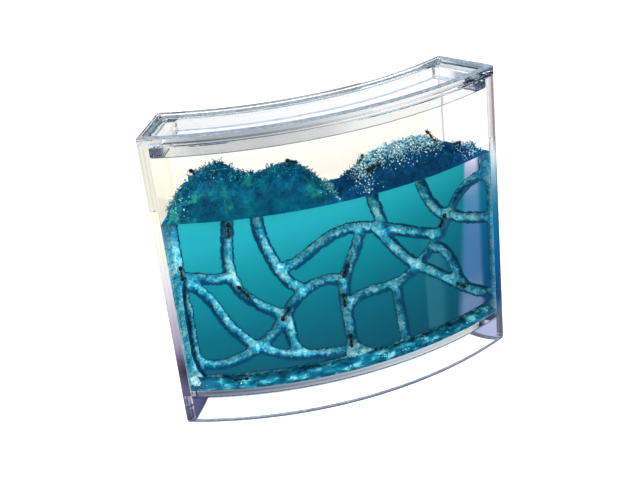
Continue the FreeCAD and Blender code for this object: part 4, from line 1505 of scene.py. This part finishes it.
@dataclass
class Colony:
    """Harvester ants, one for each ant of the frame."""

    length: float = 7.6             # mm
    sides: int = 12
    rings: tuple = (                # place from head to tail and radius, as shares of the length
        (0.00, 0.030), (0.02, 0.070), (0.06, 0.098), (0.12, 0.112), (0.18, 0.108), (0.235, 0.080),
        (0.265, 0.038), (0.29, 0.030), (0.32, 0.058), (0.37, 0.076), (0.43, 0.070), (0.48, 0.060),
        (0.53, 0.058), (0.565, 0.034), (0.585, 0.026), (0.605, 0.042), (0.625, 0.044), (0.645, 0.026),
        (0.665, 0.040), (0.70, 0.088), (0.76, 0.118), (0.83, 0.127), (0.90, 0.112), (0.96, 0.070),
        (1.00, 0.015))
    legs: tuple = ((0.34, 0.22, 0.12), (0.43, 0.45, 0.46), (0.52, 0.70, 0.84))  # root, knee and foot
    leg_radii: tuple = (0.20, 0.17, 0.13, 0.10, 0.07, 0.04)     # mm
    feeler_radii: tuple = (0.09, 0.08, 0.07, 0.08)
    jaw_radii: tuple = (0.14, 0.10, 0.04)
    limb_sides: int = 5

    def tube(self, path: list[tuple], radii: list | tuple, sides: int) -> tuple[list, list]:
        """Tapered tube along a path.

        Args:
            path: Points in mm.
            radii: Radius in mm at each point.
            sides: Facets around.

        Returns:
            Its points and faces.
        """
        points, faces = [], []
        for number, (spot, radius) in enumerate(zip(path, radii)):
            before, after = path[max(number - 1, 0)], path[min(number + 1, len(path) - 1)]
            heading = (Vector(after) - Vector(before)).normalized()
            side = heading.cross(Vector((0.1, 0.2, 1))).normalized()
            rise = heading.cross(side)
            for step in range(sides):
                turn = 2 * math.pi * step / sides
                points.append(Vector(spot) + side * radius * math.cos(turn) + rise * radius * math.sin(turn))
        for row in range(len(path) - 1):
            for step in range(sides):
                then = (step + 1) % sides
                faces.append((row * sides + step, row * sides + then, (row + 1) * sides + then,
                              (row + 1) * sides + step))
        faces.append(tuple(reversed(range(sides))))
        faces.append(tuple((len(path) - 1) * sides + step for step in range(sides)))
        return [tuple(p) for p in points], faces

    def template(self) -> tuple[np.ndarray, list]:
        """One ant with its head towards +X, standing along Z, in mm.

        Returns:
            Its points and faces.
        """
        def along(share: float) -> float:
            """Place along X of a share of the length from the head, in mm."""
            return (0.5 - share) * self.length

        spine = [(along(place), 0, 0.02 * self.length * math.sin(6 * place)) for place, _ in self.rings]
        parts = [self.tube(spine, [radius * self.length for _, radius in self.rings], self.sides)]
        for root, knee, foot in self.legs:
            for side in (-1, 1):
                path = [(along(root), side * 0.3, -0.1), (along((root + knee) / 2), side * 0.9, 0.5),
                        (along(knee), side * 1.45, 0.55), (along((knee + foot) / 2), side * 1.6, -0.5),
                        (along(foot), side * 1.62, -1.4), (along(foot * 1.05), side * 1.72, -1.42)]
                parts.append(self.tube(path, self.leg_radii, self.limb_sides))
        for side in (-1, 1):
            feeler = [(along(0.06), side * 0.4, 0.3), (along(-0.04), side * 0.9, 0.75),
                      (along(-0.045), side * 1.2, 0.5), (along(-0.03), side * 1.5, 0.1)]
            parts.append(self.tube(feeler, self.feeler_radii, self.limb_sides))
            jaw = [(along(0.02), side * 0.35, -0.1), (along(-0.02), side * 0.3, -0.15),
                   (along(-0.03), side * 0.05, -0.15)]
            parts.append(self.tube(jaw, self.jaw_radii, self.limb_sides))
        points, faces = [], []
        for part_points, part_faces in parts:
            faces += [tuple(k + len(points) for k in face) for face in part_faces]
            points += part_points
        return np.array(points), faces

    def stance(self, node: str) -> Matrix:
        """Where an ant of the frame stands: its middle, heading and back, from its own solid.

        Args:
            node: Name of the ant's node.

        Returns:
            A matrix that puts the template there, in metres.
        """
        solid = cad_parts[node].data
        spots = np.array([v.co[:] for v in solid.vertices])
        spots = np.unique(spots.round(6), axis=0)
        middle = spots.mean(0)
        _, _, axes = np.linalg.svd(spots - middle)
        along = Vector(axes[0])
        low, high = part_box(node)
        centre = (low + high) / 2
        reach = (spots - middle) @ np.array(along)
        if (reach ** 3).sum() > 0:
            along = -along
        outward = Vector((centre.x, centre.y - BowedPlan().centre_y * MM, 0)).normalized()
        up = outward if centre.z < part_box("gel_block")[1].z else Vector((0, 0, 1))
        up = (up - along * up.dot(along)).normalized()
        side = up.cross(along)
        turn = Matrix((along, side, up)).transposed().to_4x4()
        return Matrix.Translation(centre) @ turn @ Matrix.Scale(MM, 4)

    def build(self, cuticle: bpy.types.Material) -> list[bpy.types.Object]:
        """Build every ant of the frame.

        Args:
            cuticle: Finish of the ants.

        Returns:
            The pieces.
        """
        points, faces = self.template()
        made = []
        for node in sorted(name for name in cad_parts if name.startswith("ant_")):
            place = self.stance(node)
            spots = np.array([(place @ Vector(point))[:] for point in points])
            piece = make_piece("worker_" + node, spots, faces, [cuticle], crease=60.0)
            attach(piece, "tank")
            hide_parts(node)
            made.append(piece)
        LOG.info("ants: %d", len(made))
        return made


# ---- stage ------------------------------------------------------------------------------------


@dataclass
class Studio:
    """White table, a pale room with dim walls, soft lights and the camera."""

    lens: float = 65.14             # mm
    azimuth: float = -15.22         # degrees
    elevation: float = 26.19
    roll: float = -6.52
    spot: tuple = (-136.5, -476.35, 320.6)      # mm
    card: tuple = (-30.0, 0.0)      # mm along Y over which the dark card ends
    card_turn: tuple = (60.0, 260.0, -60.0)     # mm along X from and to which its edge turns back, and how far
    shade: str = "3C3A54"           # the table under the tank's left, for reflections
    shade_width: float = 12.0       # mm to either side of the middle of the tank's plan
    shade_end: tuple = (-36.0, -46.0)           # mm along X over which it comes in
    table_glow: tuple = (1.3, 0.45) # strength for the eye and for the light that it scatters
    table: tuple = (9.0, -0.0004, 64)           # m of radius, m under the tank, sides
    lamps: tuple = (                # place in m, width in m, power in W, whether gloss shows it
        ("key_softbox", (-0.75, -0.75, 0.95), 0.5, 15.0, True),
        ("fill_softbox", (0.9, -0.7, 0.6), 0.6, 4.0, True),
        ("top_softbox", (0.1, 0.25, 1.2), 0.8, 12.0, False))
    aim: tuple = (0.0, 0.0, 0.07)   # m, where the lamps point

    def camera(self) -> None:
        """Set the camera."""
        turn, tilt, lean = (math.radians(a) for a in (self.azimuth, self.elevation, self.roll))
        back = Vector((math.sin(turn) * math.cos(tilt), -math.cos(turn) * math.cos(tilt), math.sin(tilt)))
        right = Vector((math.cos(turn), math.sin(turn), 0))
        up = back.cross(right)
        across = right * math.cos(lean) + up * math.sin(lean)
        above = up * math.cos(lean) - right * math.sin(lean)
        data = bpy.data.cameras.new("camera")
        data.lens = self.lens
        data.sensor_fit = "HORIZONTAL"
        data.clip_start = 0.01
        camera = bpy.data.objects.new("camera", data)
        bpy.context.scene.collection.objects.link(camera)
        turned = Matrix((across, above, back)).transposed().to_4x4()
        camera.matrix_world = Matrix.Translation(Vector(self.spot) * MM) @ turned
        bpy.context.scene.camera = camera

    def floor(self, plan: BowedPlan) -> None:
        """Lay the white table top, with a dark card that only reflections see in front of the tank.

        Args:
            plan: Plan of the tank, for the shade of the gel on the table under it.
        """
        material, tree, out = start_material("white_table")
        path = add_node(tree, "ShaderNodeLightPath")
        bounced, scattered = (add_node(tree, "ShaderNodeMath", {0: path.outputs[kind], 1: 0.5},
                                       operation="GREATER_THAN") for kind in ("Glossy Depth", "Diffuse Depth"))
        place = add_node(tree, "ShaderNodeNewGeometry")
        axes = add_node(tree, "ShaderNodeSeparateXYZ", {0: place.outputs["Position"]})
        start, stop, back_by = self.card_turn
        slant = add_node(tree, "ShaderNodeMapRange", {
            "Value": axes.outputs["X"], "From Min": start * MM, "From Max": stop * MM, "To Min": 0.0,
            "To Max": back_by * MM})
        turned = add_node(tree, "ShaderNodeMath", {0: axes.outputs["Y"], 1: slant.outputs[0]}, operation="ADD")
        back = add_node(tree, "ShaderNodeMapRange", {
            "Value": turned.outputs[0], "From Min": self.card[0] * MM, "From Max": self.card[1] * MM})
        card = add_node(tree, "ShaderNodeValToRGB", {0: back.outputs[0]},
                        stops=((0.0, "202A38"), (1.0, "E6E6E2")))
        level = add_node(tree, "ShaderNodeVectorMath", {
            0: place.outputs["Position"], 1: (0.0, plan.centre_y * MM, 0.0)}, operation="DISTANCE")
        within = add_node(tree, "ShaderNodeMath", {
            0: level.outputs["Value"], 1: (plan.front_radius - plan.depth / 2) * MM,
            2: self.shade_width * MM}, operation="COMPARE")
        leftmost = add_node(tree, "ShaderNodeMapRange", {
            "Value": axes.outputs["X"], "From Min": self.shade_end[0] * MM, "From Max": self.shade_end[1] * MM})
        under = add_node(tree, "ShaderNodeMath", {0: within.outputs[0], 1: leftmost.outputs[0]},
                         operation="MULTIPLY")
        shaded = add_node(tree, "ShaderNodeMix", {
            0: under.outputs[0], 6: card.outputs["Color"], 7: linear(self.shade)}, data_type="RGBA")
        tone = add_node(tree, "ShaderNodeMix", {
            0: bounced.outputs[0], 6: linear("FFFFFF"), 7: shaded.outputs[2]}, data_type="RGBA")
        power = add_node(tree, "ShaderNodeMapRange", {
            "Value": scattered.outputs[0], "To Min": self.table_glow[0], "To Max": self.table_glow[1]})
        glow = add_node(tree, "ShaderNodeEmission", {"Color": tone.outputs[2], "Strength": power.outputs[0]})
        grain = add_node(tree, "ShaderNodeTexNoise", {"Scale": 6.0})
        shade = add_node(tree, "ShaderNodeValToRGB", {0: grain.outputs[0]},
                         stops=((0.3, "606060"), (0.7, "646464")))
        matt = add_node(tree, "ShaderNodeBsdfDiffuse", {"Color": shade.outputs["Color"]})
        both = add_node(tree, "ShaderNodeAddShader", {0: glow.outputs[0], 1: matt.outputs[0]})
        choice = add_node(tree, "ShaderNodeMixShader", {
            0: bounced.outputs[0], 1: both.outputs[0], 2: glow.outputs[0]})
        tree.links.new(choice.outputs[0], out.inputs["Surface"])
        radius, height, sides = self.table
        ring = [(radius * math.cos(2 * math.pi * k / sides), radius * math.sin(2 * math.pi * k / sides), height)
                for k in range(sides)]
        make_piece("table_top", np.array(ring), [tuple(range(sides))], [material])

    def contact(self, plan: BowedPlan, tank: Tank) -> None:
        """Lay the thin shadow that the skirt's edge casts where it touches the table.

        Args:
            plan: Plan of the tank.
            tank: Its sizes.
        """
        material, tree, out = start_material("contact_shadow")
        grain = add_node(tree, "ShaderNodeTexNoise", {"Scale": 40.0})
        tone = add_node(tree, "ShaderNodeValToRGB", {0: grain.outputs[0]},
                        stops=((0.3, "66788E"), (0.7, "8A9AAC")))
        glow = add_node(tree, "ShaderNodeEmission", {"Color": tone.outputs["Color"], "Strength": 0.8})
        tree.links.new(glow.outputs[0], out.inputs["Surface"])
        outer = plan.outline(plan.front_radius - 0.2, plan.back_radius + 0.2, 0.2, tank.corner)
        inner = plan.outline(plan.front_radius - tank.panel, plan.back_radius + tank.panel, tank.end,
                             tank.inner_corner)
        count = len(outer)
        points = np.column_stack([np.concatenate([outer, inner]), np.full(2 * count, -0.2)]) * MM
        faces = [(k, (k + 1) % count, count + (k + 1) % count, count + k) for k in range(count)]
        make_piece("contact_shadow", points, faces, [material])

    def light(self) -> None:
        """Hang the soft lights and set the pale room around them."""
        for name, spot, size, power, glare in self.lamps:
            data = bpy.data.lights.new(name, "AREA")
            data.size, data.energy = size, power
            lamp = bpy.data.objects.new(name, data)
            lamp.location = spot
            way = Vector(self.aim) - Vector(spot)
            lamp.rotation_euler = way.to_track_quat("-Z", "Y").to_euler()
            lamp.visible_glossy = glare
            bpy.context.scene.collection.objects.link(lamp)
        world = bpy.data.worlds.new("pale_room")
        world.use_nodes = True
        tree = world.node_tree
        tree.nodes.clear()
        out = tree.nodes.new("ShaderNodeOutputWorld")
        way = add_node(tree, "ShaderNodeTexCoord")
        axes = add_node(tree, "ShaderNodeSeparateXYZ", {0: way.outputs["Generated"]})
        tone = add_node(tree, "ShaderNodeValToRGB", {0: axes.outputs["Z"]}, stops=(
            (0.0, "6A7488"), (0.35, "7C879B"), (0.62, "C0C8D2"), (0.85, "FFFFFF")))
        right = add_node(tree, "ShaderNodeMapRange", {
            "Value": axes.outputs["X"], "From Min": 0.10, "From Max": 0.30})
        both = add_node(tree, "ShaderNodeMix", {
            0: right.outputs[0], 6: tone.outputs["Color"], 7: linear("F4F6F8")}, data_type="RGBA")
        sky = add_node(tree, "ShaderNodeBackground", {"Color": both.outputs[2], "Strength": 0.85})
        tree.links.new(sky.outputs[0], out.inputs["Surface"])
        bpy.context.scene.world = world

    def film(self) -> None:
        """Keep whites white and let light pass through the clear walls."""
        scene = bpy.context.scene
        scene.view_settings.view_transform = "Standard"
        scene.cycles.max_bounces = 24
        scene.cycles.transmission_bounces = 20
        scene.cycles.glossy_bounces = 12
        scene.cycles.transparent_max_bounces = 32

    def build(self, plan: BowedPlan, tank: Tank) -> None:
        """Set the whole stage.

        Args:
            plan: Plan of the tank, for the shadow it casts where it stands.
            tank: Its sizes.
        """
        self.camera()
        self.floor(plan)
        self.contact(plan, tank)
        self.light()
        self.film()


# ---- main -------------------------------------------------------------------------------------


def main() -> None:
    """Build every piece in order."""
    logging.basicConfig(level=logging.INFO, format="%(name)s %(message)s")
    plan = BowedPlan()
    tank = Tank(plan)
    edge = SandedAcrylic().make()
    tank.build(TankAcrylic().make(), edge)
    # The lid's face and plug carry painted shade along the lid, dark at both ends.
    face = CastAcrylic("lid_face_clear_acrylic", cast=(
        (-85, "E4E6E8"), (-76, "DDE0E2"), (-70, "A4AAB2"), (-60, "747C86"), (-32, "78808A"), (-10, "9CA4AC"),
        (8, "E0E4E8"), (30, "FAFBFC"), (62, "F4F6F8"), (70, "8C98A6"), (76, "2E3C4C"), (85, "1C2836")))
    plug = CastAcrylic("lid_plug_clear_acrylic", cast=(
        (-81, "40465C"), (-74.5, "4A5066"), (-73, "D8DADC"), (-60, "A0A6AC"), (-32, "989EA6"), (-5, "B0B6BC"),
        (12, "E4E8EC"), (40, "F6F8FA"), (71, "E8ECF0"), (73, "3C4862"), (81, "3C4862")))
    Lid(plan, tank).build(PolishedAcrylic().make(), edge, face.make(), plug.make())
    ends = ClearGel("cast_blue_gel_ends", painted_marks=(), lean=0.0)
    GelBlock(plan, tank).build([finish.make() for finish in (ClearGel(), DugGel(), ends)])
    # Painted reflections in the end walls: dark violet on the left, the gel's blue bent through the wall on the
    # right.
    painted_violet = ReflectionPaintedCement("cement_painted_violet_reflection", (
        (14, "6A6484"), (20, "5A5070"), (28, "3A3048"), (34, "5E526A"), (42, "A498AC"), (56, "BEB0C0"),
        (72, "DCD6DC"), (93, "ECE8DE"), (107, "F5F1E0")))
    painted_deep_blue = ReflectionPaintedCement("cement_painted_blue_refraction", (
        (15, "52729A"), (24, "0A3C6C"), (33, "08568C"), (47, "086A9E"), (68, "1478A6"), (76, "2A84A8"),
        (84, "5C9AB8"), (92, "98BCCC"), (100, "DCE8E8"), (107, "ECF0F0")))
    CementLayer(plan, tank, Side.LEFT).build(painted_violet.make())
    CementLayer(plan, tank, Side.RIGHT).build(painted_deep_blue.make())
    left = GelCrumbs("left_heap_crumbs",
                     ((0.0, "002E4A"), (0.3, "004266"), (0.6, "005478"), (0.85, "006A82"), (1.0, "0A828E")),
                     ((0.0, "2488A2"), (0.5, "5ABCC8"), (1.0, "B4E4E6")), "1E8A84", patch_share=0.27,
                     patch_size=11.0, mottle=4.5, spread=1.3)
    right = GelCrumbs("right_heap_crumbs",
                      ((0.0, "00243F"), (0.4, "003660"), (0.7, "004676"), (0.9, "06608A"), (1.0, "2488A8")),
                      ((0.0, "2A86A6"), (0.3, "60B6CA"), (0.65, "B4E4EA"), (1.0, "F8FFFF")), "002C5E",
                      patch_share=0.15)
    foot = GelCrumbs("gallery_floor_crumbs",
                     ((0.0, "00364E"), (0.25, "04546E"), (0.5, "0C7088"), (0.75, "2C9AAC"), (1.0, "84D6D8")),
                     ((0.0, "7AD4E2"), (0.5, "C4F1F4"), (1.0, "FFFFFF")), "086080", mottle=2.2, streak=2.6,
                     spread=2.6)
    Mound(plan, Side.LEFT, 0.55, 0.09, pale_runs=((5, 8, 0.8), (-74, 5, 0.5))).build(left.make())
    Mound(plan, Side.RIGHT, 0.42, 0.62, clumps=4200,
          pale_runs=((12.5, 3.5, 0.6), (74, 7, 0.5))).build(right.make())
    FloorCrumbs(plan).build(foot.make())
    Colony().build(AntCuticle().make())
    Studio().build(plan, tank)


if __name__ == "__main__":
    main()
